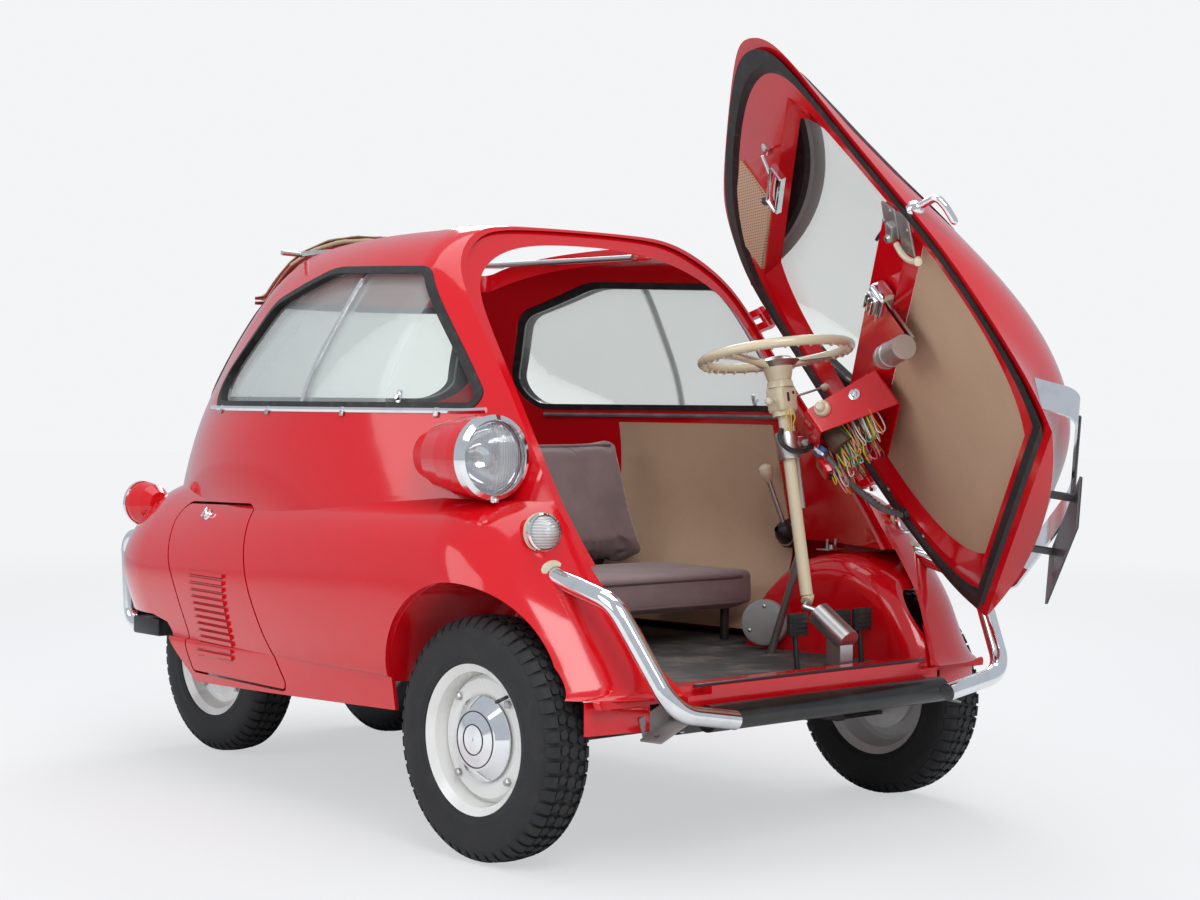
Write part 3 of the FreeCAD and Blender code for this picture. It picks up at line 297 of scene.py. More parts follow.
def tyre_rubber(name, colour):
    """Tyre rubber: near black, with a faint dusting and a fine grain."""
    look = Look(name)
    dusty = look.noise(30.0, 8.0, 0.72).ramp(0.46, 0.72)
    tone = look.mix(look.noise(12.0, 4.0), shade(colour, 0.9), shade(colour, 1.25))
    tone = look.mix(dusty * 0.06, tone, DUST)
    rough = dusty * 0.2 + 0.62
    normal = look.bump(look.noise(380.0, 4.0), 0.0003, 0.5)
    return look.finish(look.surface(tone, {"Roughness": rough, "Specular IOR Level": 0.35}, normal))


def velour(name, colour):
    """Short-pile upholstery: nap, soft streaks and a pale sheen."""
    look = Look(name)
    nap = look.noise(7.0, 5.0, 0.6)
    tone = look.mix(nap.ramp(0.3, 0.7), shade(colour, 0.78), shade(colour, 1.16))
    pile = look.noise(900.0, 2.0)
    tone = look.mix(pile * 0.35, tone, shade(colour, 1.35))
    normal = look.bump(pile, 0.0008, 0.6, look.bump(look.noise(60.0, 4.0), 0.001, 0.25))
    return look.finish(look.surface(tone, {"Roughness": nap * 0.1 + 0.84, "Sheen Weight": 0.45,
                                           "Sheen Roughness": 0.45, "Sheen Tint": (0.9, 0.85, 0.86, 1.0)},
                                    normal))


def woven(name, colour, threads=700.0, contrast=0.18, sheen=0.1):
    """Cloth of crossed threads, with slow fading."""
    look = Look(name)
    warp = (look.axis("X") * threads * math.pi).sine()
    weft = ((look.axis("Y") + look.axis("Z")) * threads * math.pi).sine()
    weave = (warp * weft + 1.0) * 0.5
    tone = look.mix(weave * contrast, colour, shade(colour, 0.6))
    tone = look.mix(look.noise(6.0, 5.0).ramp(0.35, 0.75) * 0.4, tone, shade(colour, 1.25))
    normal = look.bump(weave, 0.0005, 0.5, look.bump(look.noise(35.0, 4.0), 0.0015, 0.3))
    return look.finish(look.surface(tone, {"Roughness": look.noise(20.0, 3.0) * 0.1 + 0.78,
                                           "Sheen Weight": sheen}, normal))


def grained(name, colour, roughness=0.5, pebble=260.0, depth=0.0004, coat=0.0):
    """Vinyl, board or moulded plastic with a pebbled face."""
    look = Look(name)
    tone = look.mix(look.noise(8.0, 5.0), shade(colour, 0.88), shade(colour, 1.08))
    pits = look.cells(pebble)
    tone = look.mix(pits.ramp(0.5, 0.9) * 0.25, tone, shade(colour, 0.7))
    normal = look.bump(pits, depth, 0.5)
    return look.finish(look.surface(tone, {"Roughness": look.noise(30.0, 3.0) * 0.1 + roughness - 0.05,
                                           "Coat Weight": coat}, normal))


def perforated(name, colour, pitch=0.006):
    """A vinyl face with rows of small punched holes, each darkened as painted shade inside it."""
    look = Look(name)
    scale = 1.0 / pitch
    across = (look.axis("X") * scale).fraction() - 0.5
    along = (look.axis("Z") * scale).fraction() - 0.5
    hole = 1.0 - (across * across + along * along).ramp(0.035, 0.06)
    # Painted shade: each hole's dark stands for the shade inside it, not the vinyl's own colour
    tone = look.mix(hole, colour, shade(colour, 0.22))
    normal = look.bump(1.0 - hole, 0.0005, 0.6)
    return look.finish(look.surface(tone, {"Roughness": look.noise(30.0) * 0.1 + 0.5}, normal))


def ribbed_mat(name, colour):
    """Floor rubber with narrow ribs along the car and trodden dust."""
    look = Look(name)
    ribs = (look.axis("X") * 2.0 * math.pi / 0.012).sine()
    dusty = look.noise(9.0, 8.0, 0.7).ramp(0.42, 0.75)
    tone = look.mix(dusty * 0.45, colour, DUST)
    return look.finish(look.surface(tone, {"Roughness": dusty * 0.15 + 0.7}, look.bump(ribs, 0.0012, 0.5)))


def pane(name, tint, cloud=0.012):
    """Clear glass or lens: it lets light through and mirrors more at a slant."""
    look = Look(name)
    edge = look.node("ShaderNodeFresnel", {}, {"IOR": 1.5})["Fac"]
    smear = look.noise(4.0, 6.0, 0.6).ramp(0.5, 0.85) * cloud
    clear = look.node("ShaderNodeBsdfTransparent", {}, {"Color": tuple(tint[:3]) + (1.0,)})
    gloss = look.surface(shade(tint, 0.9), {"Roughness": look.noise(20.0) * 0.02 + 0.01, "Metallic": 0.0,
                                            "Specular IOR Level": 1.0, "Coat Weight": 1.0,
                                            "Coat Roughness": 0.01})
    mixed = look.node("ShaderNodeMixShader", {}, {0: edge * 0.45 + smear + 0.008, 1: clear["BSDF"],
                                                  2: gloss["BSDF"]})
    return look.finish(mixed, "Shader")


def fluted(name, tint, pitch, clear_share=0.55, around=False):
    """Pressed lamp glass: upright flutes, bright and half see-through, banded with painted highlight and
    shade.
    """
    look = Look(name)
    if around:
        flutes = (look.axis("Z") * 2.0 * math.pi / pitch).sine()
    else:
        flutes = (look.axis("X") * 2.0 * math.pi / pitch).sine()
    cross = (look.axis("Z") * 2.0 * math.pi / (pitch * 4.0)).sine() * 0.3
    normal = look.bump(flutes + cross, 0.0012, 0.8)
    # Painted highlight on the flutes' crests and painted shade in their troughs, following the bump
    tone = look.mix(flutes * 0.5 + 0.5, shade(tint, 0.72), tint)
    edge = look.node("ShaderNodeFresnel", {}, {"IOR": 1.5})["Fac"]
    clear = look.node("ShaderNodeBsdfTransparent", {}, {"Color": tuple(tint[:3]) + (1.0,)})
    body = look.surface(tone, {"Roughness": look.noise(40.0) * 0.05 + 0.06, "Coat Weight": 1.0,
                               "Specular IOR Level": 0.8}, normal)
    mixed = look.node("ShaderNodeMixShader", {},
                      {0: edge * 0.5 + (1.0 - clear_share), 1: clear["BSDF"], 2: body["BSDF"]})
    return look.finish(mixed, "Shader")


def red_lens(name, tint):
    """Red lamp glass with fine moulded rings, banded with painted highlight and shade."""
    look = Look(name)
    rings = (look.axis("Z") * 2.0 * math.pi / 0.008).sine()
    # Painted highlight on the rings' crests and painted shade between them, following the bump
    tone = look.mix(rings * 0.5 + 0.5, shade(tint, 0.6), tint)
    return look.finish(look.surface(tone, {"Roughness": look.noise(30.0) * 0.05 + 0.08, "Coat Weight": 1.0},
                                    look.bump(rings, 0.001, 0.5)))


def colour_setting(label, description, default):
    return FloatVectorProperty(name=label, description=description, subtype="COLOR", default=default,
                               min=0.0, max=1.0)


def length_setting(label, description, default, least, most):
    return FloatProperty(name=label, description=description, subtype="DISTANCE", unit="LENGTH",
                         default=default, min=least, max=most)


class CarColours(bpy.types.PropertyGroup):
    paint: colour_setting("Body paint", "Gloss paint of the body, door and pods", (0.66, 0.003, 0.009))
    white: colour_setting("Wheel white", "Enamel of the steel wheels", (0.80, 0.79, 0.76))
    cream: colour_setting("Cream", "Steering wheel, column and knobs", (0.72, 0.63, 0.44))
    seat: colour_setting("Velour", "Bench seat upholstery", (0.235, 0.165, 0.165))
    card: colour_setting("Tan card", "Side cards, door card and visor", (0.60, 0.41, 0.27))
    lining: colour_setting("Roof lining", "Inner face of the folding roof", (0.56, 0.43, 0.28))
    roof: colour_setting("Roof cloth", "Outer face of the folding roof", (0.42, 0.012, 0.02))
    rubber: colour_setting("Rubber", "Tyres, seals and strips", (0.018, 0.018, 0.019))


class CarSizes(bpy.types.PropertyGroup):
    tread_depth: length_setting("Tread depth", "Height of the tread blocks over the grooves", 0.007, 0.001,
                                0.012)
    tread_pitches: IntProperty(name="Tread pitches", description="Tread blocks round one tyre",
                               default=52, min=20, max=80)
    piping: length_setting("Seat piping", "Radius of the piping on the seat's seams", 0.0045, 0.002, 0.008)
    voxel: length_setting("Cushion voxel", "Mesh size of the cushions before they are blown up", 0.0065,
                          0.004, 0.02)


LOOKS = {}


def make_looks(colours):
    """Makes every look, from the chosen colours and the fixed ones."""
    LOOKS.update({
        "paint": enamel("gloss_body_paint", colours.paint, 0.12, 0.3, 0.05),
        "white": enamel("wheel_enamel", colours.white, 0.24, 0.6, 0.25),
        "cream": enamel("cream_enamel", colours.cream, 0.26, 0.5, 0.0),
        "black_paint": enamel("chassis_black", (0.020, 0.019, 0.018), 0.36, 0.15, 0.16, 0.1),
        "bar_black": enamel("bar_black", (0.006, 0.006, 0.006), 0.30, 0.1, 0.05),
        "grey_paint": enamel("primer_grey", (0.27, 0.27, 0.265), 0.45, 0.1, 0.2, 0.1),
        "chrome": metal("bright_chrome", (0.86, 0.87, 0.88), 0.035, 0.0, 0.05),
        "aluminium": metal("dull_aluminium", (0.66, 0.66, 0.65), 0.28, 0.3, 0.12),
        "steel": metal("zinc_steel", (0.50, 0.50, 0.49), 0.32, 0.0, 0.15, 0.2),
        "cast": metal("cast_engine_metal", (0.33, 0.32, 0.31), 0.5, 0.0, 0.15, 0.8),
        "rust": metal("browned_pipe", (0.26, 0.17, 0.12), 0.55, 0.0, 0.2, 0.8),
        "tyre": tyre_rubber("tyre_rubber", colours.rubber),
        "seal": rubber("seal_rubber", shade(colours.rubber, 0.9), 0.5, 0.1),
        "grey_rubber": rubber("grey_rubber_strip", (0.12, 0.125, 0.13), 0.6, 0.15),
        "cream_rubber": rubber("cream_rubber", (0.62, 0.56, 0.42), 0.55, 0.2),
        "glass": pane("window_glass", (0.95, 0.97, 0.96)),
        "lamp_glass": fluted("fluted_lamp_glass", (0.96, 0.97, 0.98), 0.0075, 0.8),
        "signal_glass": fluted("ribbed_signal_glass", (0.93, 0.93, 0.91), 0.006, 0.35, True),
        "red_glass": red_lens("red_tail_glass", (0.50, 0.01, 0.012)),
        "velour": velour("mauve_velour", colours.seat),
        "piping": grained("seat_piping", shade(colours.seat, 0.75), 0.5, 500.0, 0.0002),
        "card": grained("tan_card", colours.card, 0.55, 300.0, 0.0004),
        "visor": perforated("perforated_tan_vinyl", shade(colours.card, 1.2)),
        "lining": woven("roof_lining", colours.lining, 520.0, 0.2),
        "roof": woven("red_roof_cloth", colours.roof, 620.0, 0.22, 0.15),
        "mat": ribbed_mat("floor_mat", (0.03, 0.03, 0.031)),
        "black": grained("black_plastic", (0.02, 0.02, 0.021), 0.4, 320.0, 0.0002),
        "plate": enamel("blank_plate", (0.05, 0.052, 0.055), 0.4, 0.2, 0.2),
        "brown": grained("brown_block", (0.10, 0.05, 0.03), 0.5, 200.0, 0.0003),
        "yellow": grained("yellow_wire", (0.72, 0.55, 0.04), 0.4, 600.0, 0.0001),
        "green": grained("green_wire", (0.05, 0.30, 0.10), 0.4, 600.0, 0.0001),
        "pink": grained("pink_wire", (0.70, 0.25, 0.30), 0.4, 600.0, 0.0001),
        "orange": grained("orange_wire", (0.75, 0.22, 0.03), 0.4, 600.0, 0.0001),
        "blue": grained("blue_plug", (0.05, 0.16, 0.42), 0.35, 400.0, 0.0001),
        "pale_wire": grained("white_wire", (0.75, 0.74, 0.70), 0.4, 600.0, 0.0001),
    })


# Which look each CAD node wears
NODE_LOOKS = {
    "paint": ["front_fenders", "lower_body", "cabin_shell", "door_shell", "engine_hatch", "headlamp_buckets",
              "lamp_pods", "wheelhouses", "instrument_pod", "front_sill", "door_hinge_pins",
              "door_hinge_leaves"],
    "glass": ["cabin_windows", "windshield"],
    "chrome": ["window_dividers", "hub_cap_left", "hub_cap_right", "headlamp_rings", "front_bumpers",
               "rear_bumpers", "door_handle", "nose_bar", "mirror"],
    "seal": ["window_seals", "windshield_seal", "door_seal"],
    "white": ["front_rim_left", "front_rim_right", "rear_rims"],
    "tyre": ["front_tyre_left", "front_tyre_right", "rear_tyres"],
    "mat": ["floor_pan"],
    "black_paint": ["chassis_frame", "front_suspension", "rear_suspension", "knuckle_left", "knuckle_right",
                    "seat_frame", "rear_bulkhead"],
    "bar_black": ["bumper_bars"],
    "card": ["side_cards", "door_card"],
    "cast": ["engine_block"],
    "rust": ["exhaust"],
    "velour": ["seat_cushion", "seat_back"],
    "lamp_glass": ["headlamp_lenses"],
    "signal_glass": ["turn_signal_lenses"],
    "red_glass": ["tail_lamp_lenses"],
    "roof": ["roof_canvas"],
    "aluminium": ["roof_arms", "wiper_motor", "steering_gear"],
    "cream": ["steering_column", "steering_wheel"],
    "black": ["pedals"],
    "steel": ["hand_levers"],
    "plate": ["number_plate"],
    "visor": ["sun_visor"],
}


def turned_to(way, at):
    """The matrix that lays +Z along way and the origin at the point."""
    return Matrix.Translation(at) @ Vector(way).to_track_quat("Z", "Y").to_matrix().to_4x4()


class Piece:
    """One named object whose mesh is built up from turned, boxed and piped forms."""

    def __init__(self, name, look, body, slot=None):
        self.name = name
        self.look = look
        self.body = body
        self.slot = slot
        self.bm = bmesh.new()

    def take(self, part, matrix):
        """Adds another bmesh, put at its place, with its normals outwards."""
        bmesh.ops.remove_doubles(part, verts=part.verts, dist=1e-6)
        bmesh.ops.transform(part, matrix=matrix, verts=part.verts)
        bmesh.ops.recalc_face_normals(part, faces=part.faces)
        mesh = bpy.data.meshes.new("part")
        part.to_mesh(mesh)
        part.free()
        self.bm.from_mesh(mesh)
        bpy.data.meshes.remove(mesh)
        return self

    def turned(self, profile, at, way, steps=48, closed=False):
        """A turned form from radius and height pairs about the way."""
        part = bmesh.new()
        verts = [part.verts.new((radius, 0.0, height)) for radius, height in profile]
        pairs = list(zip(verts, verts[1:]))
        if closed:
            pairs.append((verts[-1], verts[0]))
        edges = [part.edges.new(pair) for pair in pairs]
        bmesh.ops.spin(part, geom=verts + edges, cent=(0, 0, 0), axis=(0, 0, 1), dvec=(0, 0, 0),
                       angle=2 * math.pi, steps=steps, use_merge=True, use_duplicate=False)
        return self.take(part, turned_to(way, at))

    def block(self, size, matrix, bevel=0.0, segments=2):
        """A box of the size with rounded edges."""
        part = bmesh.new()
        bmesh.ops.create_cube(part, size=1.0)
        bmesh.ops.scale(part, vec=size, verts=part.verts)
        if bevel:
            bmesh.ops.bevel(part, geom=part.edges[:], offset=bevel, offset_type="OFFSET", affect="EDGES",
                            segments=segments, profile=0.5, material=-1)
        return self.take(part, matrix)

    def pipe(self, points, radius, sides=12, closed=False):
        """A round bar along a smooth line through the points."""
        curve = bpy.data.curves.new("line", "CURVE")
        curve.dimensions = "3D"
        curve.resolution_u = 6
        spline = curve.splines.new("BEZIER")
        spline.bezier_points.add(len(points) - 1)
        for knot, point in zip(spline.bezier_points, points):
            knot.co = point
            knot.handle_left_type = knot.handle_right_type = "AUTO"
        spline.use_cyclic_u = closed
        curve.bevel_depth = radius
        curve.bevel_resolution = max(0, sides // 4 - 1)
        curve.use_fill_caps = True
        holder = bpy.data.objects.new("line", curve)
        bpy.context.scene.collection.objects.link(holder)
        mesh = bpy.data.meshes.new_from_object(holder.evaluated_get(bpy.context.evaluated_depsgraph_get()))
        bpy.data.objects.remove(holder)
        bpy.data.curves.remove(curve)
        part = bmesh.new()
        part.from_mesh(mesh)
        bpy.data.meshes.remove(mesh)
        return self.take(part, Matrix.Identity(4))

    def screw(self, at, way, radius):
        """A slotted screw with a domed head."""
        self.turned([(0, radius * 0.45), (radius * 0.6, radius * 0.36), (radius, 0.0),
                     (radius, -radius * 0.3), (0, -radius * 0.3)], at, way, 16)
        return self

    def done(self, sharp=35.0):
        """Makes the object: smooth but for edges over the sharp angle, and riding its body."""
        mesh = bpy.data.meshes.new(self.name)
        self.bm.to_mesh(mesh)
        self.bm.free()
        mesh.polygons.foreach_set("use_smooth", [True] * len(mesh.polygons))
        mesh.set_sharp_from_angle(angle=math.radians(sharp))
        mesh.materials.append(LOOKS[self.look])
        obj = bpy.data.objects.new(self.name, mesh)
        bpy.context.scene.collection.objects.link(obj)
        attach(obj, self.body)
        return obj


def lathe(name, look, body, profile, at, way, steps=48, sharp=35.0, slot=None, closed=False):
    """A piece that is one turned form."""
    return Piece(name, look, body, slot).turned(profile, at, way, steps, closed).done(sharp)


def both_sides(place, way):
    """A place and an aim given for the left side, for each side of the car."""
    for sign in (1, -1):
        aim = Vector((sign * way[0], way[1], way[2])).normalized()
        yield sign, car(sign * place[0], place[1], place[2]), aim


def ring_pair(name, look, profile, place, way):
    """The same turned ring on both sides of the car."""
    piece = Piece(name, look, "root")
    for _, at, aim in both_sides(place, way):
        piece.turned(profile, at, aim, 48, True)
    return piece.done()


def skin_of(*names):
    """The surface of some CAD nodes, for laying trim on it."""
    bm = bmesh.new()
    for name in names:
        bm.from_mesh(NODES[name].data)
    tree = BVHTree.FromBMesh(bm)
    bm.free()
    return tree


# A line that falls between two triangles of a skin is tried again this far beside itself
SKIN_SHIFTS = [(0, 0, 0), (0.0007, 0.0004, 0.0005), (-0.0006, -0.0008, 0.0003), (0.002, 0.001, -0.002)]


def on_skin(skin, start, way, proud=0.0):
    """Where a line from start along way meets the skin, moved outwards by proud, and the normal there."""
    for shift in SKIN_SHIFTS:
        place, normal, _, _ = skin.ray_cast(start + Vector(shift), Vector(way).normalized())
        if place is not None:
            break
    if place is None:
        raise RuntimeError("no skin along the line from " + str(start))
    if normal.dot(Vector(way)) > 0:
        normal = -normal
    return place + normal * proud, normal


# The pale tone that the floor fades into, the light that the sky gives, and half the floor's side
PALE = (0.90, 0.91, 0.92, 1.0)
SKY = (0.80, 0.86, 0.95, 1.0)
FLOOR_HALF = 30.0
# Soft lights: name, place, side, watts
LIGHTS = [("key_light", (-2.6, -4.6, 4.6), 3.0, 170.0), ("fill_light", (-5.2, 1.2, 2.6), 3.0, 60.0),
          ("rim_light", (3.6, 3.6, 4.2), 2.6, 120.0), ("top_light", (0.0, 0.2, 5.0), 3.4, 60.0)]
# What the lights face
LIT_POINT = Vector((0, 0, 0.6))


class CAR_OT_stage(bpy.types.Operator):
    """Lay the pale floor, hang the soft lights and place the camera"""
    bl_idname = "bubble_car.stage"
    bl_label = "Stage"

    def execute(self, context):
        floor = bpy.data.meshes.new("studio_floor")
        bm = bmesh.new()
        bmesh.ops.create_grid(bm, x_segments=2, y_segments=2, size=FLOOR_HALF)
        bm.to_mesh(floor)
        bm.free()
        look = Look("studio_floor")
        tone = look.mix(look.noise(0.8, 3.0), (0.80, 0.80, 0.79), (0.84, 0.84, 0.83))
        lit_floor = look.surface(tone, {"Roughness": 0.85})
        glow = look.node("ShaderNodeEmission", {}, {"Color": PALE, "Strength": 1.0})
        away = look.node("ShaderNodeVectorMath", {"operation": "LENGTH"}, {0: look.place})["Value"]
        far = away.ramp(2.0, 9.0)
        seen_share = look.node("ShaderNodeLightPath")["Is Camera Ray"] * (far * 0.38 + 0.60)
        pale = look.node("ShaderNodeMixShader", {}, {0: seen_share, 1: lit_floor["BSDF"],
                                                     2: glow["Emission"]})
        floor.materials.append(look.finish(pale, "Shader"))
        ground = bpy.data.objects.new("studio_floor", floor)
        ground.location = (0.0, 0.0, -0.0005)
        context.scene.collection.objects.link(ground)
        world = bpy.data.worlds.new("studio_world")
        context.scene.world = world
        world.use_nodes = True
        tree = world.node_tree
        tree.nodes.clear()
        out = tree.nodes.new("ShaderNodeOutputWorld")
        lit = tree.nodes.new("ShaderNodeBackground")
        lit.inputs["Color"].default_value = SKY
        lit.inputs["Strength"].default_value = 0.62
        seen = tree.nodes.new("ShaderNodeBackground")
        seen.inputs["Color"].default_value = PALE
        seen.inputs["Strength"].default_value = 1.0
        path = tree.nodes.new("ShaderNodeLightPath")
        mix = tree.nodes.new("ShaderNodeMixShader")
        tree.links.new(path.outputs["Is Camera Ray"], mix.inputs[0])
        tree.links.new(lit.outputs[0], mix.inputs[1])
        tree.links.new(seen.outputs[0], mix.inputs[2])
        tree.links.new(mix.outputs[0], out.inputs["Surface"])
        for name, at, size, power in LIGHTS:
            light = bpy.data.lights.new(name, "AREA")
            light.shape = "SQUARE"
            light.size = size
            light.energy = power
            lamp = bpy.data.objects.new(name, light)
            lamp.location = at
            lamp.rotation_euler = (LIT_POINT - Vector(at)).to_track_quat("-Z", "Y").to_euler()
            context.scene.collection.objects.link(lamp)
        forward = Vector((math.sin(CAMERA_YAW) * math.cos(CAMERA_PITCH),
                          math.cos(CAMERA_YAW) * math.cos(CAMERA_PITCH), math.sin(CAMERA_PITCH)))
        level = Vector((math.cos(CAMERA_YAW), -math.sin(CAMERA_YAW), 0.0))
        upright = level.cross(forward)
        right = level * math.cos(CAMERA_ROLL) + upright * math.sin(CAMERA_ROLL)
        up = upright * math.cos(CAMERA_ROLL) - level * math.sin(CAMERA_ROLL)
        data = bpy.data.cameras.new("photo_camera")
        data.lens = CAMERA_LENS
        data.sensor_width = 36.0
        data.sensor_fit = "HORIZONTAL"
        data.clip_end = 200.0
        camera = bpy.data.objects.new("photo_camera", data)
        turned = Matrix((right, up, -forward)).transposed().to_4x4()
        camera.matrix_world = Matrix.Translation(CAMERA_AT) @ turned
        context.scene.collection.objects.link(camera)
        context.scene.camera = camera
        context.scene.view_settings.view_transform = "Standard"
        return {"FINISHED"}


class CAR_OT_finishes(bpy.types.Operator):
    """Make every finish and put one on each CAD part"""
    bl_idname = "bubble_car.finishes"
    bl_label = "Finishes"

    def execute(self, context):
        make_looks(context.scene.car_colours)
        worn = {node: look for look, nodes in NODE_LOOKS.items() for node in nodes}
        for name, node in NODES.items():
            node.data.materials.clear()
            node.data.materials.append(LOOKS[worn[name]])
        return {"FINISHED"}


# Tyre section: distance out from the wheel's middle, radius
TYRE_SECTION = [(-0.0505, 0.1503), (-0.0545, 0.1530), (-0.0560, 0.1600), (-0.0578, 0.1640),
                (-0.0572, 0.1680), (-0.0590, 0.1850), (-0.0590, 0.2030), (-0.0560, 0.2170),
                (-0.0500, 0.2270), (-0.0400, 0.2340), (-0.0220, 0.2372), (0.0, 0.2380)]
# Tread blocks of one pitch, as a share of the pitch and distance across
TREAD_BLOCKS = [
    [(-0.42, 0.0), (-0.22, 0.0095), (0.22, 0.0095), (0.42, 0.0), (0.22, -0.0095), (-0.22, -0.0095)],
    [(0.10, 0.0130), (0.28, 0.0130), (0.56, 0.0200), (0.36, 0.0290), (-0.02, 0.0290), (-0.10, 0.0200)],
    [(-0.10, -0.0130), (-0.28, -0.0130), (-0.56, -0.0200), (-0.36, -0.0290), (0.02, -0.0290),
     (0.10, -0.0200)],
]
# Shoulder lug: distance across, radius, half width as a share of the pitch
SHOULDER_LUG = [(0.0325, 0.2428, 0.34), (0.0400, 0.2405, 0.36), (0.0485, 0.2335, 0.36),
                (0.0545, 0.2235, 0.30)]
# The tread's radius at its middle, and how much it falls by this distance across
TREAD_RADIUS = 0.245
CROWN_FALL = 0.0028
CROWN_ACROSS = 0.03


def crown(across):
    """The tread's radius at a distance across."""
    return TREAD_RADIUS - CROWN_FALL * (across / CROWN_ACROSS) ** 2


def tyre(piece, centre, out, pitches, depth):
    """One tyre: the carcass turned round the axle, and its tread blocks repeated round it."""
    half = [(radius, across) for across, radius in TYRE_SECTION]
    piece.turned(half + [(radius, -across) for radius, across in reversed(half[:-1])], centre, out, 96)
    pitch = 2 * math.pi / pitches
    part = bmesh.new()

    def at(turn, across, radius):
        return part.verts.new((radius * math.cos(turn), radius * math.sin(turn), across))

    tops = []
    for outline in TREAD_BLOCKS:
        verts = [at(share * pitch, across, crown(across)) for share, across in outline]
        tops.append(part.faces.new(verts))
    for side in (-1, 1):
        rows = [[at((shift + side * 0.12) * pitch, side * across, radius) for shift in (-wide, wide)]
                for across, radius, wide in SHOULDER_LUG]
        for low, high in zip(rows, rows[1:]):
            tops.append(part.faces.new((low[0], low[1], high[1], high[0])))
    raised = bmesh.ops.extrude_face_region(part, geom=part.faces[:])
    for vert in [v for v in raised["geom"] if isinstance(v, bmesh.types.BMVert)]:
        radius = math.hypot(vert.co.x, vert.co.y)
        shrink = (radius - depth - 0.002) / radius
        vert.co.x *= shrink
        vert.co.y *= shrink
        if abs(vert.co.z) > 0.05:
            vert.co.z *= 0.93
    bmesh.ops.spin(part, geom=part.verts[:] + part.edges[:] + part.faces[:], cent=(0, 0, 0), axis=(0, 0, 1),
                   dvec=(0, 0, 0), angle=2 * math.pi * (pitches - 1) / pitches, steps=pitches - 1,
                   use_merge=False, use_duplicate=True)
    piece.take(part, turned_to(out, centre))


class CAR_OT_tyres(bpy.types.Operator):
    """Make the four treaded tyres"""
    bl_idname = "bubble_car.tyres"
    bl_label = "Tyres"

    def execute(self, context):
        sizes = context.scene.car_sizes
        for side, sign in (("left", 1), ("right", -1)):
            piece = Piece("treaded_front_tyre_" + side, "tyre", "front_wheel_" + side[0], "tyre_rubber")
            tyre(piece, car(sign * FRONT_WHEEL_X, FRONT_AXLE_Y, AXLE_Z), (sign, 0, 0), sizes.tread_pitches,
                 sizes.tread_depth)
            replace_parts(piece.done(28.0), "front_tyre_" + side)
        piece = Piece("treaded_rear_tyres", "tyre", "rear_axle", "tyre_rubber")
        for sign in (1, -1):
            tyre(piece, car(sign * REAR_WHEEL_X, REAR_AXLE_Y, AXLE_Z), (sign, 0, 0), sizes.tread_pitches,
                 sizes.tread_depth)
        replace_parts(piece.done(28.0), "rear_tyres")
        return {"FINISHED"}


# The bolts stand on a circle of this radius, and the valve on its own, turned from the level
BOLT_CIRCLE = 0.108
VALVE_CIRCLE = 0.126
VALVE_TURN = 2.3
# Radii of the grooves in a front cap, each drawn as a black ring of painted shade, and a groove's half width
CAP_GROOVES = (0.0300, 0.0560)
GROOVE_HALF = 0.0012
# Rear hub centre: radius, distance out
HUB_PROFILE = [(0, 0.046), (0.014, 0.045), (0.020, 0.038), (0.034, 0.036), (0.040, 0.016), (0.058, 0.012),
               (0.058, 0.0085), (0, 0.0085)]


class CAR_OT_wheels(bpy.types.Operator):
    """Add the wheel bolts, valves, black rings of painted shade in the cap grooves, and rear hub centres"""
    bl_idname = "bubble_car.wheels"
    bl_label = "Wheel furniture"

    def execute(self, context):
        for body, sign, x, y in (("front_wheel_l", 1, FRONT_WHEEL_X, FRONT_AXLE_Y),
                                 ("front_wheel_r", -1, FRONT_WHEEL_X, FRONT_AXLE_Y),
                                 ("rear_axle", 1, REAR_WHEEL_X, REAR_AXLE_Y),
                                 ("rear_axle", -1, REAR_WHEEL_X, REAR_AXLE_Y)):
            tag = body + ("_in" if body == "rear_axle" and sign > 0 else "")
            centre = car(sign * x, y, AXLE_Z)
            out = Vector((sign, 0, 0))
            bolts = Piece("wheel_bolts_" + tag, "steel", body)
            for turn in range(4):
                angle = math.radians(45 + 90 * turn)
                ring = Vector((0, math.cos(angle), math.sin(angle)))
                bolts.turned([(0, 0.012), (0.006, 0.011), (0.0085, 0.008), (0.0085, 0.0), (0, 0.0)],
                             centre + out * 0.0205 + ring * BOLT_CIRCLE, out, 6)
            bolts.done(30.0)
            valve = Piece("tyre_valve_" + tag, "black", body)
            rise = Vector((0, math.cos(VALVE_TURN), math.sin(VALVE_TURN)))
            foot = centre + out * 0.024 + rise * VALVE_CIRCLE
            tip = foot + out * 0.022 - rise * 0.012
            valve.pipe([foot - out * 0.006, foot, tip], 0.0036, 8)
            valve.turned([(0, 0.009), (0.003, 0.009), (0.0042, 0.0), (0, 0.0)], tip, tip - foot, 12)
            valve.done()
        for side, sign in (("left", 1), ("right", -1)):
            cap = skin_of("hub_cap_" + side)
            centre = car(sign * FRONT_WHEEL_X, FRONT_AXLE_Y, AXLE_Z)
            out = Vector((sign, 0, 0))
            # Black rings laid into the chrome caps' grooves: painted shade standing in for the dark of each
            # groove
            rings = Piece("hub_cap_groove_shade_" + side, "black", "front_wheel_" + side[0])
            for radius in CAP_GROOVES:
                place, _ = on_skin(cap, centre + out * 0.3 + Vector((0, radius, 0.0004)), -out)
                height = (place - centre).dot(out)
                low, high = radius - GROOVE_HALF, radius + GROOVE_HALF
                rings.turned([(low, height - 0.002), (low, height + 0.0009), (high, height + 0.0009),
                              (high, height - 0.002)], centre, out, 64, True)
            rings.done()
        hubs = Piece("rear_hub_centres", "black_paint", "rear_axle")
        for sign in (1, -1):
            hubs.turned(HUB_PROFILE, car(sign * REAR_WHEEL_X, REAR_AXLE_Y, AXLE_Z), (sign, 0, 0))
        hubs.done(30.0)
        return {"FINISHED"}


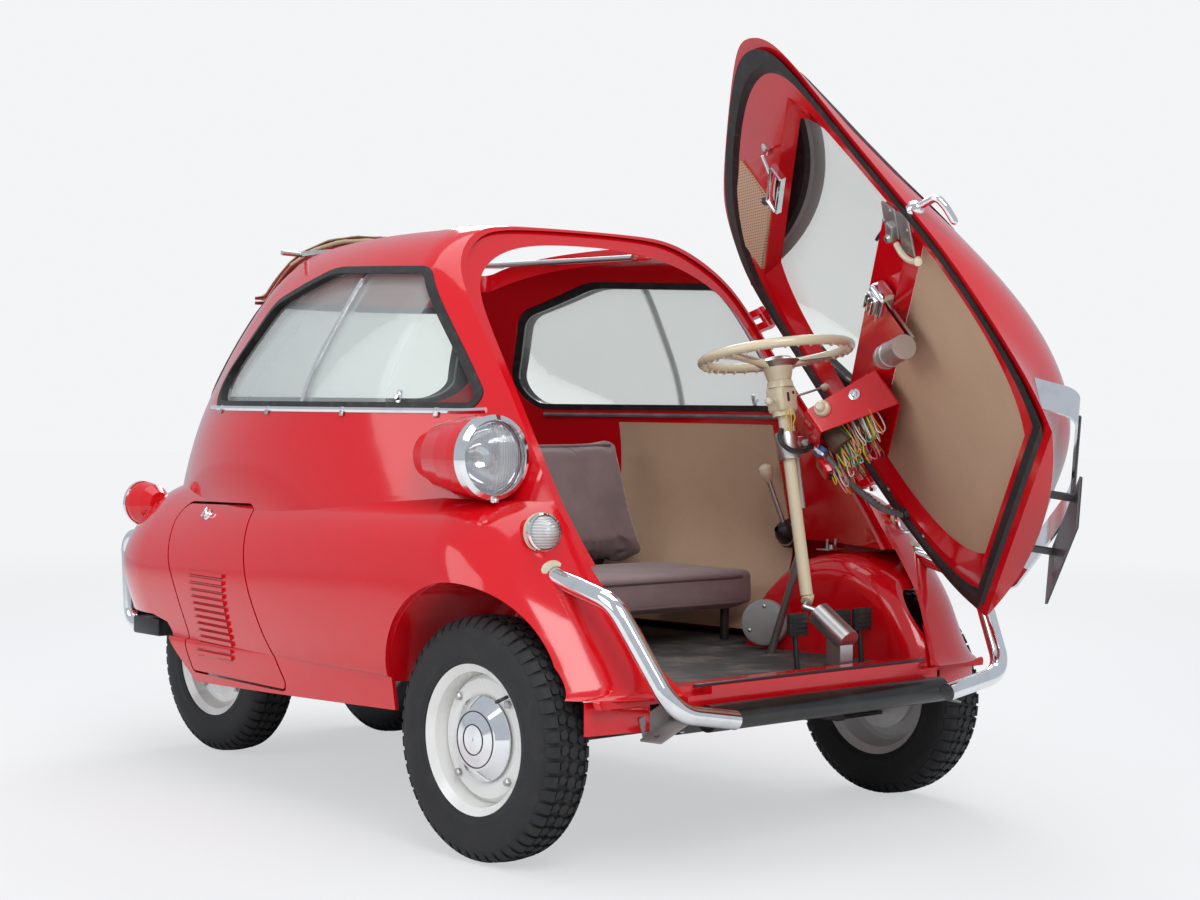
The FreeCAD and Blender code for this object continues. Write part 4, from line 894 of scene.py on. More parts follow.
# Pressure in the cushions and the frames that they swell for
CUSHION_PRESSURE = 4.0
CUSHION_FRAMES = 20


def evaluated_copy(obj):
    """A plain mesh of the object with its modifiers carried out."""
    context = bpy.context
    context.view_layer.update()
    return bpy.data.meshes.new_from_object(obj.evaluated_get(context.evaluated_depsgraph_get()))


def blown_up(name, bm, look, voxel, cap):
    """A cushion: the closed form remeshed, then swollen by a short cloth run whose reach is capped."""
    context = bpy.context
    mesh = bpy.data.meshes.new(name)
    bmesh.ops.recalc_face_normals(bm, faces=bm.faces)
    bm.to_mesh(mesh)
    bm.free()
    obj = bpy.data.objects.new(name, mesh)
    context.scene.collection.objects.link(obj)
    remesh = obj.modifiers.new("remesh", "REMESH")
    remesh.mode = "VOXEL"
    remesh.voxel_size = voxel
    even = evaluated_copy(obj)
    obj.modifiers.clear()
    obj.data = even
    start = [vert.co.copy() for vert in even.vertices]
    cloth = obj.modifiers.new("cloth", "CLOTH")
    cloth.settings.use_pressure = True
    cloth.settings.uniform_pressure_force = CUSHION_PRESSURE
    cloth.settings.effector_weights.gravity = 0.0
    cloth.settings.tension_stiffness = 18.0
    cloth.settings.quality = 4
    cloth.point_cache.frame_start = 1
    cloth.point_cache.frame_end = CUSHION_FRAMES
    for step in range(1, CUSHION_FRAMES + 1):
        context.scene.frame_set(step)
    swollen = evaluated_copy(obj)
    obj.modifiers.clear()
    obj.data = swollen
    context.scene.frame_set(1)
    for vert, home in zip(obj.data.vertices, start):
        move = vert.co - home
        if move.length > cap:
            vert.co = home + move.normalized() * cap
    obj.data.materials.clear()
    obj.data.materials.append(LOOKS[look])
    obj.data.polygons.foreach_set("use_smooth", [True] * len(obj.data.polygons))
    smooth = obj.modifiers.new("smooth", "SUBSURF")
    smooth.levels = 1
    smooth.render_levels = 1
    return obj


def soft_bar(section, half_width, ends):
    """A closed form from a side outline of y and z, drawn out across the car with rounded ends."""
    bm = bmesh.new()
    face = bm.faces.new([bm.verts.new((-half_width, y, z)) for y, z in section])
    grown = bmesh.ops.extrude_face_region(bm, geom=[face])
    verts = [v for v in grown["geom"] if isinstance(v, bmesh.types.BMVert)]
    bmesh.ops.translate(bm, vec=(2 * half_width, 0, 0), verts=verts)
    bmesh.ops.bevel(bm, geom=bm.edges[:], offset=ends, offset_type="OFFSET", affect="EDGES", segments=4,
                    profile=0.5, material=-1)
    return bm


class CAR_OT_seat(bpy.types.Operator):
    """Make the bench: two blown-up velour cushions with their piping"""
    bl_idname = "bubble_car.seat"
    bl_label = "Bench seat"

    def execute(self, context):
        sizes = context.scene.car_sizes
        # Side outlines: the cushion's front edge hangs down before the rail that it rests on
        low = [(-0.424 + CAR_Y, 0.421), (-0.424 + CAR_Y, 0.503), (-0.085 + CAR_Y, 0.505),
               (-0.070 + CAR_Y, 0.4500), (-0.382 + CAR_Y, 0.4500), (-0.400 + CAR_Y, 0.421)]
        cushion = blown_up("bench_cushion", soft_bar(low, 0.490, 0.010), "velour", sizes.voxel, 0.009)
        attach(cushion, "root")
        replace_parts(cushion, "seat_cushion")
        back = [(-0.046 + CAR_Y, 0.530), (0.046 + CAR_Y, 0.494), (0.116 + CAR_Y, 0.804),
                (0.095 + CAR_Y, 0.822), (0.060 + CAR_Y, 0.812)]
        rest = blown_up("bench_back", soft_bar(back, 0.484, 0.015), "velour", sizes.voxel, 0.014)
        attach(rest, "root")
        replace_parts(rest, "seat_back")
        seams = Piece("seat_piping", "piping", "root")
        for soft, y, z, way in ((cushion, -0.424, 0.503, (0, 1, -1)), (cushion, -0.424, 0.424, (0, 1, 1)),
                                (rest, 0.055, 0.812, (0, 1, -1.6))):
            shell = BVHTree.FromObject(soft, context.evaluated_depsgraph_get())
            aim = Vector(way).normalized()
            line = [on_skin(shell, car(0.045 * step, y, z) - aim * 0.2, aim, 0.0005)[0]
                    for step in range(-10, 11)]
            seams.pipe(line, sizes.piping, 8)
        seams.done()
        return {"FINISHED"}


# The folded roof cloth: half its width, the ends of a layer, the layers, and the points along and across
FOLD_HALF_WIDTH = 0.280
FOLD_FRONT = 0.450
FOLD_BACK = 0.606
FOLD_LAYERS = 4
FOLD_STEPS = 12
FOLD_COLUMNS = 25
# Height of the lowest layer over the skin, and from one layer to the next
FOLD_REST = 0.0045
FOLD_RISE = 0.0070


class CAR_OT_roof(bpy.types.Operator):
    """Fold the roof's cloth behind its opening"""
    bl_idname = "bubble_car.roof"
    bl_label = "Folded roof"

    def execute(self, context):
        skin = skin_of("roof_canvas")
        bm = bmesh.new()
        rows = []
        for layer in range(FOLD_LAYERS):
            for step in range(FOLD_STEPS + 1):
                share = step / FOLD_STEPS
                if layer % 2:
                    share = 1.0 - share
                rows.append((FOLD_FRONT + (FOLD_BACK - FOLD_FRONT) * share, layer))
        grid = []
        for index, (y, layer) in enumerate(rows):
            line = []
            for column in range(FOLD_COLUMNS):
                x = -FOLD_HALF_WIDTH + 2 * FOLD_HALF_WIDTH * column / (FOLD_COLUMNS - 1)
                place, _ = on_skin(skin, car(x, y, 0.9), (0, 0, 1))
                ripple = 0.0012 * math.sin(column * 1.7 + index * 0.6)
                line.append(bm.verts.new(place + Vector((0, 0, FOLD_REST + layer * FOLD_RISE + ripple))))
            grid.append(line)
        for index, (low, high) in enumerate(zip(grid, grid[1:])):
            for a, b, c, d in zip(low, low[1:], high[1:], high):
                bm.faces.new((a, b, c, d)).material_index = rows[index][1] % 2
        mesh = bpy.data.meshes.new("folded_roof")
        bm.to_mesh(mesh)
        bm.free()
        mesh.materials.append(LOOKS["roof"])
        mesh.materials.append(LOOKS["lining"])
        mesh.polygons.foreach_set("use_smooth", [True] * len(mesh.polygons))
        cloth = bpy.data.objects.new("folded_roof", mesh)
        context.scene.collection.objects.link(cloth)
        thick = cloth.modifiers.new("thickness", "SOLIDIFY")
        thick.thickness = 0.002
        thick.offset = 0.0
        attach(cloth, "root")
        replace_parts(cloth, "roof_canvas")
        return {"FINISHED"}


class CAR_OT_lamps(bpy.types.Operator):
    """Fill and trim the headlamps, turn signals and tail lamps"""
    bl_idname = "bubble_car.lamps"
    bl_label = "Lamps"

    def execute(self, context):
        bowls = Piece("headlamp_reflectors", "chrome", "root")
        bulbs = Piece("headlamp_bulbs", "signal_glass", "root")
        lugs = Piece("headlamp_lugs", "chrome", "root")
        for _, at, way in both_sides(HEADLAMP_AT, (0.06, -1, 0)):
            bowls.turned([(0.0, -0.0765), (0.020, -0.072), (0.045, -0.052), (0.062, -0.026), (0.0715, 0.0),
                          (0.0735, 0.0), (0.064, -0.027), (0.047, -0.054), (0.021, -0.0745), (0.0, -0.079)],
                         at, way)
            bulbs.turned([(0, -0.030), (0.008, -0.032), (0.012, -0.044), (0.008, -0.060), (0.009, -0.072),
                          (0, -0.072)], at, way, 20)
            foot = at + way * 0.022 + Vector((0, 0, -0.086))
            lugs.block((0.014, 0.010, 0.012), turned_to(way, foot), 0.002)
            lugs.screw(foot + way * 0.006, way, 0.0042)
        bowls.done()
        bulbs.done()
        lugs.done()
        facing = (0.15, -1, 0.1)
        ring_pair("turn_signal_rings", "chrome",
                  [(0.0345, -0.002), (0.0385, 0.0), (0.0385, 0.007), (0.0350, 0.010), (0.0345, 0.007)],
                  SIGNAL_AT, facing)
        ring_pair("turn_signal_gaskets", "cream_rubber",
                  [(0.0340, -0.010), (0.0395, -0.010), (0.0400, -0.002), (0.0340, -0.002)],
                  SIGNAL_AT, facing)
        ring_pair("tail_lamp_rings", "chrome",
                  [(0.0505, -0.006), (0.0565, -0.006), (0.0575, 0.001), (0.0545, 0.006), (0.0505, 0.006)],
                  TAIL_LAMP_AT, (0.1, 1, 0))
        return {"FINISHED"}


class CAR_OT_bumpers(bpy.types.Operator):
    """Add the bumper tubes' grommets, wraps and rubbers, and the brackets and aprons under the fenders"""
    bl_idname = "bubble_car.bumpers"
    bl_label = "Bumper details"

    def execute(self, context):
        grommets = Piece("bumper_grommets", "cream_rubber", "root")
        brackets = Piece("bumper_brackets", "grey_paint", "root")
        rivets = Piece("bracket_rivets", "steel", "root")
        aprons = Piece("fender_aprons", "paint", "root", "body_paint")
        ends = Piece("rear_bumper_wraps", "chrome", "root")
        stubs = Piece("rear_bar_rubbers", "black", "root")
        for sign, start, way in both_sides((0.546, -0.866, 0.5715), (0.004, -0.210, -0.048)):
            grommets.turned([(0.0193, 0.004), (0.0225, 0.006), (0.0290, 0.002), (0.0305, -0.004),
                             (0.0285, -0.010), (0.0193, -0.010)], start, way, 40, True)
            place = car(sign * 0.412, -1.052, 0.276)
            turn = Matrix.Rotation(math.radians(-8 * sign), 4, "Z")
            turn = turn @ Matrix.Rotation(math.radians(18 * sign), 4, "Y")
            brackets.block((0.105, 0.052, 0.005), Matrix.Translation(place) @ turn, 0.0015)
            brackets.block((0.105, 0.004, 0.046), Matrix.Translation(place + Vector((0, 0.025, 0.021)))
                           @ turn, 0.001)
            for shift in (-0.034, 0.0, 0.034):
                rivets.turned([(0, 0.004), (0.004, 0.0032), (0.006, 0.0), (0, 0.0)],
                              place + Vector((sign * shift, -0.008, -0.0035)), (0, -0.1, -1), 12)
            aprons.block((0.150, 0.003, 0.066), Matrix.Translation(car(sign * 0.515, -1.022, 0.3085))
                         @ Matrix.Rotation(math.radians(10 * sign), 4, "Z"), 0.001)
            ends.turned([(0.0195, -0.020), (0.0215, -0.018), (0.0215, 0.018), (0.0195, 0.020)],
                        car(sign * REAR_TUBE_X, 0.985, REAR_TUBE_Z), (0, 1, 0), 32, True)
            stubs.block((0.046, 0.130, 0.046),
                        Matrix.Translation(car(sign * REAR_TUBE_X, 0.922, REAR_TUBE_Z)), 0.006)
        for piece in (grommets, brackets, rivets, aprons, ends, stubs):
            piece.done(30.0)
        return {"FINISHED"}


class CAR_OT_windows(bpy.types.Operator):
    """Lay the bright strips under the side windows, and add their clips, rails and latches"""
    bl_idname = "bubble_car.windows"
    bl_label = "Window trim"

    def execute(self, context):
        skin = skin_of("cabin_shell")
        panes = skin_of("cabin_windows")
        for side, sign in (("left", 1), ("right", -1)):
            strip = Piece("window_strip_" + side, "chrome", "root", "chrome")
            line = [on_skin(skin, car(sign * 0.9, -0.575 + 0.045 * step, WINDOW_LINE_Z + 0.012),
                            (-sign, 0, 0), 0.0006)[0] for step in range(24)]
            strip.pipe(line, 0.0062, 8)
            strip.done()
            clips = Piece("window_clips_" + side, "steel", "root")
            for y in (-0.47, -0.22, 0.06, 0.34):
                place, normal = on_skin(skin, car(sign * 0.9, y, WINDOW_LINE_Z + 0.006), (-sign, 0, 0),
                                        0.003)
                clips.block((0.012, 0.020, 0.005), turned_to(normal, place), 0.001)
            clips.done()
            rail = Piece("window_rail_" + side, "grey_rubber", "root")
            inner = [on_skin(skin, car(0, -0.50 + 0.08 * step, WINDOW_LINE_Z), (sign, 0, 0), 0.004)[0]
                     for step in range(12)]
            rail.pipe(inner, 0.0055, 8)
            rail.done()
            latch = Piece("window_latch_" + side, "chrome", "root")
            place, normal = on_skin(panes, car(sign * 0.9, -0.360, WINDOW_LINE_Z + 0.036), (-sign, 0, 0),
                                    0.003)
            latch.block((0.012, 0.034, 0.006), turned_to(normal, place), 0.002)
            latch.turned([(0, 0.012), (0.005, 0.011), (0.007, 0.004), (0.007, 0.0), (0, 0.0)],
                         place, normal, 20)
            latch.done()
        return {"FINISHED"}


class CAR_OT_body_details(bpy.types.Operator):
    """Add the hatch lock, the nose strip, the door's screws, the plate's edge and the sill's rubber"""
    bl_idname = "bubble_car.body_details"
    bl_label = "Body details"

    def execute(self, context):
        lid = skin_of("engine_hatch")
        lock = Piece("hatch_lock", "chrome", "engine_cover")
        place, normal = on_skin(lid, car(-0.9, 0.330, 0.640), (1, 0, 0), 0.0)
        lock.turned([(0, 0.010), (0.006, 0.010), (0.008, 0.006), (0.013, 0.004), (0.0145, 0.0), (0, 0.0)],
                    place, normal, 28)
        lock.block((0.007, 0.026, 0.007), turned_to(normal, place + normal * 0.012), 0.002)
        lock.done()
        strip = Piece("nose_bar_rubber", "black", "door")
        blade = skin_of("nose_bar")
        outside = SWING.to_3x3() @ Vector((0, 1, 0))
        line = [on_skin(blade, door_point(0.034 * step, -1.300, 0.4575), outside, 0.0008)[0]
                for step in range(-9, 10)]
        strip.pipe(line, 0.0045, 8)
        strip.done()
        screws = Piece("door_trim_screws", "steel", "door")
        turn = SWING.to_3x3()
        inward = turn @ -SHUT_NORMAL
        for x, along in ((0.411, 1.172), (0.430, 0.674), (0.418, 0.560), (-0.425, 0.600), (0.350, 1.200)):
            screws.turned([(0, 0.0022), (0.004, 0.0022), (0.0045, 0.0), (0.009, -0.0002), (0.009, -0.001),
                           (0, -0.001)], on_door(x, along, 0.0028), inward, 20)
        screws.done()
        edge = Piece("plate_edge", "black", "door")
        corners = [(-0.158, 0.302), (0.158, 0.302), (0.158, 0.416), (-0.158, 0.416)]
        for (x0, z0), (x1, z1) in zip(corners, corners[1:] + corners[:1]):
            edge.pipe([door_point(x0, -1.1520, z0), door_point(x1, -1.1520, z1)], 0.0024, 8)
        edge.done()
        sill = Piece("sill_rubber", "black", "root")
        sill.block((0.700, 0.010, 0.006), Matrix.Translation(car(0.0, -1.066, 0.3600)), 0.002)
        sill.done()
        return {"FINISHED"}


class CAR_OT_door_details(bpy.types.Operator):
    """Fit the door: handle, latch, lever, visor hinge, mirror face, wiper arm, vent box and wiper motor"""
    bl_idname = "bubble_car.door_details"
    bl_label = "Door details"

    def execute(self, context):
        turn = SWING.to_3x3()
        inward = (turn @ -SHUT_NORMAL).normalized()

        def laid(x, along, ahead, angle=0.0):
            """Laid flat on the door's plane at a place, turned about the plane's normal."""
            right = turn @ Vector((1, 0, 0))
            up = inward.cross(right)
            frame_here = Matrix((right, up, inward)).transposed().to_4x4()
            return Matrix.Translation(on_door(x, along, ahead)) @ frame_here @ Matrix.Rotation(angle, 4, "Z")

        handle = Piece("door_handle_hook", "chrome", "door", "chrome")
        foot = door_point(-0.430, -0.735, 0.785)
        handle.turned([(0, 0.012), (0.0185, 0.012), (0.0185, 0.018), (0.0165, 0.026), (0.012, 0.033),
                       (0.009, 0.036), (0, 0.036)], foot, door_point(-0.458, -0.756, 0.787) - foot, 40)
        handle.pipe([door_point(*place) for place in ((-0.452, -0.7515, 0.7865), (-0.474, -0.768, 0.7875),
                                                      (-0.489, -0.782, 0.7845), (-0.4875, -0.797, 0.774),
                                                      (-0.478, -0.812, 0.761), (-0.470, -0.822, 0.752))],
                    0.0078, 16)
        handle.turned([(0, -0.008), (0.0055, -0.0055), (0.0078, 0.0), (0.0055, 0.0055), (0, 0.008)],
                      door_point(-0.470, -0.822, 0.752), (0, 0, 1), 24)
        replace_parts(handle.done(50.0), "door_handle")
        latch = Piece("door_latch", "steel", "door")
        latch.block((0.070, 0.052, 0.007), laid(-0.368, 0.812, 0.0, 0.5), 0.003)
        latch.block((0.090, 0.046, 0.006), laid(-0.382, 0.772, 0.001, 0.55), 0.003)
        latch.block((0.040, 0.024, 0.016), laid(-0.352, 0.800, -0.006, 0.3), 0.004)
        latch.turned([(0, 0.012), (0.008, 0.011), (0.010, 0.0), (0, 0.0)], on_door(-0.340, 0.795, -0.010),
                     inward, 20)
        for x, along in ((-0.395, 0.815), (-0.350, 0.825), (-0.405, 0.765)):
            latch.screw(on_door(x, along, -0.004), inward, 0.005)
        latch.done()
        lever = Piece("door_latch_lever", "cream", "door")
        lever.pipe(door_line((-0.345, 0.778, -0.010), (-0.352, 0.755, -0.016), (-0.372, 0.728, -0.020),
                             (-0.395, 0.712, -0.020)), 0.0065, 12)
        lever.turned([(0, -0.012), (0.008, -0.009), (0.0105, 0.0), (0.008, 0.009), (0, 0.012)],
                     on_door(-0.396, 0.711, -0.020), turn @ Vector((-0.7, 0, -0.7)), 20)
        lever.done()
        hinge = Piece("visor_hinge", "black", "door")
        hinge.block((0.018, 0.060, 0.006), laid(0.030, 1.135, -0.012, 0.9), 0.001)
        hinge.pipe(door_line((0.055, 1.150, -0.013), (0.005, 1.118, -0.013)), 0.004, 8)
        hinge.done()
        glass = Piece("mirror_face", "chrome", "door")
        glass.block((0.112, 0.038, 0.002), laid(-0.110, 1.080, -0.0525), 0.004, 3)
        glass.done()
        arm = Piece("wiper_arm", "black", "door")
        arm.pipe(door_line((-0.150, 0.800, 0.050), (-0.200, 0.835, 0.062), (-0.300, 0.885, 0.070),
                           (-0.345, 0.905, 0.066)), 0.0035, 8)
        arm.pipe(door_line((-0.120, 0.905, 0.073), (-0.220, 0.890, 0.078), (-0.360, 0.912, 0.070)),
                 0.0042, 8)
        arm.done()
        vent = Piece("door_vent_box", "chrome", "door")
        vent.block((0.070, 0.050, 0.040), laid(-0.165, 0.778, -0.022), 0.010, 3)
        vent.block((0.050, 0.032, 0.010), laid(-0.165, 0.778, -0.044), 0.004, 2)
        for row in range(3):
            vent.block((0.046, 0.004, 0.006), laid(-0.165, 0.769 + row * 0.009, -0.051), 0.001, 1)
        vent.done()
        cover = Piece("motor_bracket_cover", "paint", "door", "body_paint")
        cover.block((0.100, 0.096, 0.0015), laid(-0.090, 0.7515, -0.0106), 0.0004, 1)
        cover.done()
        motor = Piece("wiper_motor_cap", "aluminium", "door")
        far = on_door(-0.142, 0.690, -0.030)
        near = on_door(-0.036, 0.730, -0.030)
        way = (near - far).normalized()
        motor.turned([(0, 0.016), (0.010, 0.0155), (0.019, 0.012), (0.025, 0.004), (0.0268, -0.004),
                      (0.0268, -0.012), (0.0262, -0.012)], near, way, 40)
        motor.turned([(0.0262, 0.0), (0.0278, 0.0), (0.0278, 0.006), (0.0262, 0.006)], near - way * 0.040,
                     way, 40, True)
        for angle in (0.4, 2.5, 4.6):
            side = way.orthogonal().normalized()
            side.rotate(Matrix.Rotation(angle, 3, way))
            motor.screw(near + way * 0.0125 + side * 0.012, way, 0.0032)
        motor.done()
        return {"FINISHED"}


# The loom of wires under the pod
WIRES = 46
WIRE_RADIUS = 0.0014
WIRE_COLOURS = ["yellow", "green", "pale_wire", "pink", "orange", "yellow", "pale_wire", "brown", "green",
                "pink"]


class CAR_OT_instruments(bpy.types.Operator):
    """Fit the instrument pod: knob, key lock, loom of wires, plug, junction box and conduit"""
    bl_idname = "bubble_car.instruments"
    bl_label = "Instrument pod"

    def execute(self, context):
        turn = SWING.to_3x3()
        slope = (turn @ Vector((0, SHUT_SLOPE, 1)).normalized()).normalized()
        inward = (turn @ -SHUT_NORMAL).normalized()
        top = (slope * 0.99 + inward * 0.12).normalized()
        panel = (turn @ Vector((-0.868, 0, 0)) + inward * 0.496).normalized()
        at = on_door(0.173, 0.773, -0.125)
        lathe("pod_switch_knob", "cream", "door",
              [(0, 0.026), (0.008, 0.0255), (0.0105, 0.022), (0.0105, 0.013), (0.0165, 0.011),
               (0.018, 0.007), (0.018, -0.002), (0, -0.002)], at, panel, 40, 30.0)
        lock = Piece("pod_key_lock", "chrome", "door")
        at = on_door(0.135, 0.758, -0.0605)
        lock.turned([(0, 0.006), (0.006, 0.006), (0.0075, 0.004), (0.0125, 0.003), (0.0135, -0.001),
                     (0, -0.001)], at, panel, 36)
        lock.block((0.002, 0.007, 0.004), turned_to(panel, at + panel * 0.005), 0.0004)
        lock.done(30.0)
        screws = Piece("pod_screws", "steel", "door")
        for x, along, ahead in ((0.120, 0.774, -0.018), (0.300, 0.776, -0.022), (0.185, 0.787, -0.125)):
            screws.screw(on_door(x, along + 0.002, ahead), top, 0.0042)
        screws.done()
        terminals = Piece("pod_terminal_block", "brown", "door")
        for column in range(5):
            terminals.turned([(0, 0.016), (0.005, 0.016), (0.006, 0.012), (0.006, 0.0), (0, 0.0)],
                             on_door(0.150 + column * 0.032, 0.728 + 0.004 * (column % 2),
                                     -0.060 - 0.012 * column), -slope, 12)
        terminals.turned([(0, 0.050), (0.028, 0.050), (0.031, 0.042), (0.031, 0.0), (0, 0.0)],
                         on_door(0.235, 0.752, -0.105), -slope, 32)
        terminals.done(30.0)
        rng = random.Random(7)
        looms = {}
        for index in range(WIRES):
            colour = WIRE_COLOURS[index % len(WIRE_COLOURS)]
            if colour not in looms:
                looms[colour] = Piece("pod_wires_" + colour, colour, "door")
            x0 = 0.150 + 0.0115 * (index % 12) + rng.uniform(-0.006, 0.006)
            depth = -0.045 - 0.008 * (index % 12)
            drop = rng.uniform(0.014, 0.048)
            lean = rng.uniform(-0.022, 0.05)
            low = depth - 0.014 + rng.uniform(-0.01, 0.01)
            back = depth + rng.uniform(-0.012, 0.008)
            looms[colour].pipe(door_line((x0, 0.738, depth),
                                         (x0 + lean * 0.3, 0.715 - drop * 0.5, depth - 0.010),
                                         (x0 + lean * 0.7, 0.698 - drop, low),
                                         (x0 + lean, 0.712 - drop * 0.4, back),
                                         (x0 + lean * 1.1, 0.742, depth - 0.004)), WIRE_RADIUS, 8)
        for piece in looms.values():
            piece.done()
        at = on_door(0.276, 0.740, -0.146)
        way = (inward * 0.8 + turn @ Vector((0.5, 0, 0)) - slope * 0.3).normalized()
        lathe("pod_round_plug", "blue", "door",
              [(0, 0.012), (0.008, 0.012), (0.013, 0.006), (0.015, 0.0), (0.015, -0.014), (0, -0.014)],
              at, way, 30, 30.0)
        lathe("pod_plug_ring", "chrome", "door",
              [(0.0155, -0.003), (0.021, -0.003), (0.0215, 0.003), (0.019, 0.006), (0.0155, 0.005)],
              at, way, 36, closed=True)
        box = Piece("pod_junction_box", "paint", "door", "body_paint")
        right = turn @ Vector((1, 0, 0))
        upright = Matrix((right, slope, inward)).transposed().to_4x4()
        placed = Matrix.Translation(on_door(0.296, 0.716, -0.138)) @ upright
        box.block((0.040, 0.046, 0.040), placed, 0.004)
        box.done()
        mouth = Piece("junction_box_mouth", "black", "door")
        mouth.block((0.030, 0.006, 0.030), placed @ Matrix.Translation((0, -0.025, 0)), 0.002)
        mouth.done()
        conduit = Piece("loom_conduit", "grey_rubber", "door")
        route = door_line((0.270, 0.722, -0.140), (0.290, 0.684, -0.126), (0.345, 0.654, -0.088),
                          (0.396, 0.632, -0.048), (0.424, 0.616, -0.006))
        conduit.pipe(route, 0.0072, 12)
        for low, high in zip(route, route[1:]):
            for share in (0.1, 0.3, 0.5, 0.7, 0.9):
                conduit.turned([(0.0060, -0.0016), (0.0085, 0.0), (0.0060, 0.0016)], low.lerp(high, share),
                               high - low, 16, True)
        conduit.done(60.0)
        lathe("conduit_grommet", "black", "door",
              [(0.0070, 0.006), (0.0120, 0.004), (0.0145, -0.002), (0.0145, -0.006), (0.0070, -0.006)],
              on_door(0.424, 0.616, -0.002), inward, 28, closed=True)
        return {"FINISHED"}


class CAR_OT_steering(bpy.types.Operator):
    """Detail the steering: scalloped grip, hub cone, head block, stalks, clamp, tube, cable and wires"""
    bl_idname = "bubble_car.steering"
    bl_label = "Steering"

    def execute(self, context):
        foot = car(*COLUMN_FOOT)
        top = car(*COLUMN_TOP)
        way = (top - foot).normalized()
        right = Vector((1, 0, 0))
        back = way.cross(right).normalized()
        frame_here = Matrix((right, back, way)).transposed().to_4x4()

        def on_column(down, side=0.0, aft=0.0):
            return top - way * down + right * side + back * aft

        def column_line(*places):
            return [on_column(*place) for place in places]

        scallops = Piece("grip_scallops", "cream", "steering_rim", "cream_paint")
        centre = top + way * 0.030
        for step in range(36):
            angle = 2 * math.pi * step / 36
            around = right * math.cos(angle) + back * math.sin(angle)
            scallops.turned([(0, -0.0040), (0.0050, -0.0030), (0.0078, 0.0), (0.0050, 0.0030), (0, 0.0040)],
                            centre + around * 0.1640 - way * 0.0068, way.cross(around), 16)
        scallops.done(60.0)
        hub = Piece("steering_hub_cone", "aluminium", "steering_rim", "aluminium")
        hub.turned([(0.0345, 0.0), (0.050, 0.012), (0.034, 0.018), (0.030, 0.022), (0, 0.0245), (0, 0.0),
                    (0.0345, 0.0)], top, way, 40)
        for sign in (-1, 1):
            for lean in (-0.16, 0.16):
                far = centre + right * (sign * 0.158 * math.cos(lean)) + back * (0.158 * math.sin(lean))
                hub.pipe([top + way * 0.013 + right * (sign * 0.034), far - way * 0.006], 0.0028, 8)
        hub.done()
        head = Piece("column_head_block", "cream", "steering_shaft", "cream_paint")
        head.block((0.056, 0.050, 0.060), Matrix.Translation(on_column(0.072)) @ frame_here, 0.010, 3)
        head.turned([(0.018, 0.0), (0.030, 0.0), (0.028, 0.014), (0.021, 0.020), (0.018, 0.020)],
                    on_column(0.046), way, 36, True)
        head.done(40.0)
        slot_plate = Piece("column_head_slot", "black", "steering_shaft")
        slot_plate.block((0.006, 0.003, 0.020), Matrix.Translation(on_column(0.070, -0.006, -0.0255))
                         @ frame_here, 0.001)
        slot_plate.screw(on_column(0.060, 0.012, -0.0255), -back, 0.0038)
        slot_plate.done()
        stalks = Piece("column_stalks", "steel", "steering_shaft")
        stalks.pipe(column_line((0.068, 0.022, -0.005), (0.060, 0.060, -0.020), (0.050, 0.100, -0.032)),
                    0.0028, 8)
        stalks.pipe(column_line((0.075, -0.022, 0.0), (0.078, -0.042, -0.006)), 0.0028, 8)
        stalks.done()
        knobs = Piece("stalk_knobs", "cream", "steering_shaft", "cream_paint")
        for at, aim in ((on_column(0.049, 0.108, -0.034), right),
                        (on_column(0.0785, -0.049, -0.008), -right)):
            knobs.turned([(0, -0.012), (0.004, -0.011), (0.0085, -0.002), (0.0088, 0.004), (0.005, 0.0105),
                          (0, 0.012)], at, aim - way * 0.1, 24)
        knobs.done(50.0)
        clamp = Piece("column_clamp", "aluminium", "steering_shaft", "aluminium")
        clamp.turned([(0.0145, -0.030), (0.0240, -0.030), (0.0255, -0.026), (0.0255, 0.026), (0.0240, 0.030),
                      (0.0145, 0.030)], on_column(0.1758), way, 40, True)
        clamp.block((0.030, 0.022, 0.030), Matrix.Translation(on_column(0.172, 0.032, -0.006)) @ frame_here,
                    0.004)
        clamp.turned([(0, 0.012), (0.006, 0.011), (0.0085, 0.006), (0.0085, 0.0), (0, 0.0)],
                     on_column(0.172, 0.040, -0.017), -back, 6)
        clamp.turned([(0, 0.010), (0.008, 0.009), (0.010, 0.0), (0, 0.0)], on_column(0.172, 0.047, 0.0),
                     right, 20)
        clamp.done(30.0)
        tube = Piece("column_side_tube", "aluminium", "steering_shaft", "aluminium")
        tube.pipe(column_line((0.130, 0.030, 0.006), (0.240, 0.029, 0.006), (0.315, 0.027, 0.006)),
                  0.0075, 12)
        tube.done()
        cable = Piece("column_cable", "black", "steering_shaft")
        cable.pipe(column_line((0.140, -0.022, -0.008), (0.160, -0.034, -0.012), (0.186, -0.028, -0.026),
                               (0.193, 0.004, -0.035), (0.186, 0.034, -0.032), (0.174, 0.052, -0.026),
                               (0.170, 0.060, -0.020)), 0.0058, 12)
        cable.done()
        wires = Piece("column_yellow_wires", "yellow", "steering_shaft")
        for shift in (-0.004, 0.003, 0.009):
            wires.pipe(column_line((0.100, -0.010 + shift, -0.024), (0.116, -0.016 + shift * 2, -0.030),
                                   (0.130, -0.010 + shift, -0.026), (0.148, -0.008 + shift, -0.022)),
                       0.0013, 8)
        wires.done()
        return {"FINISHED"}


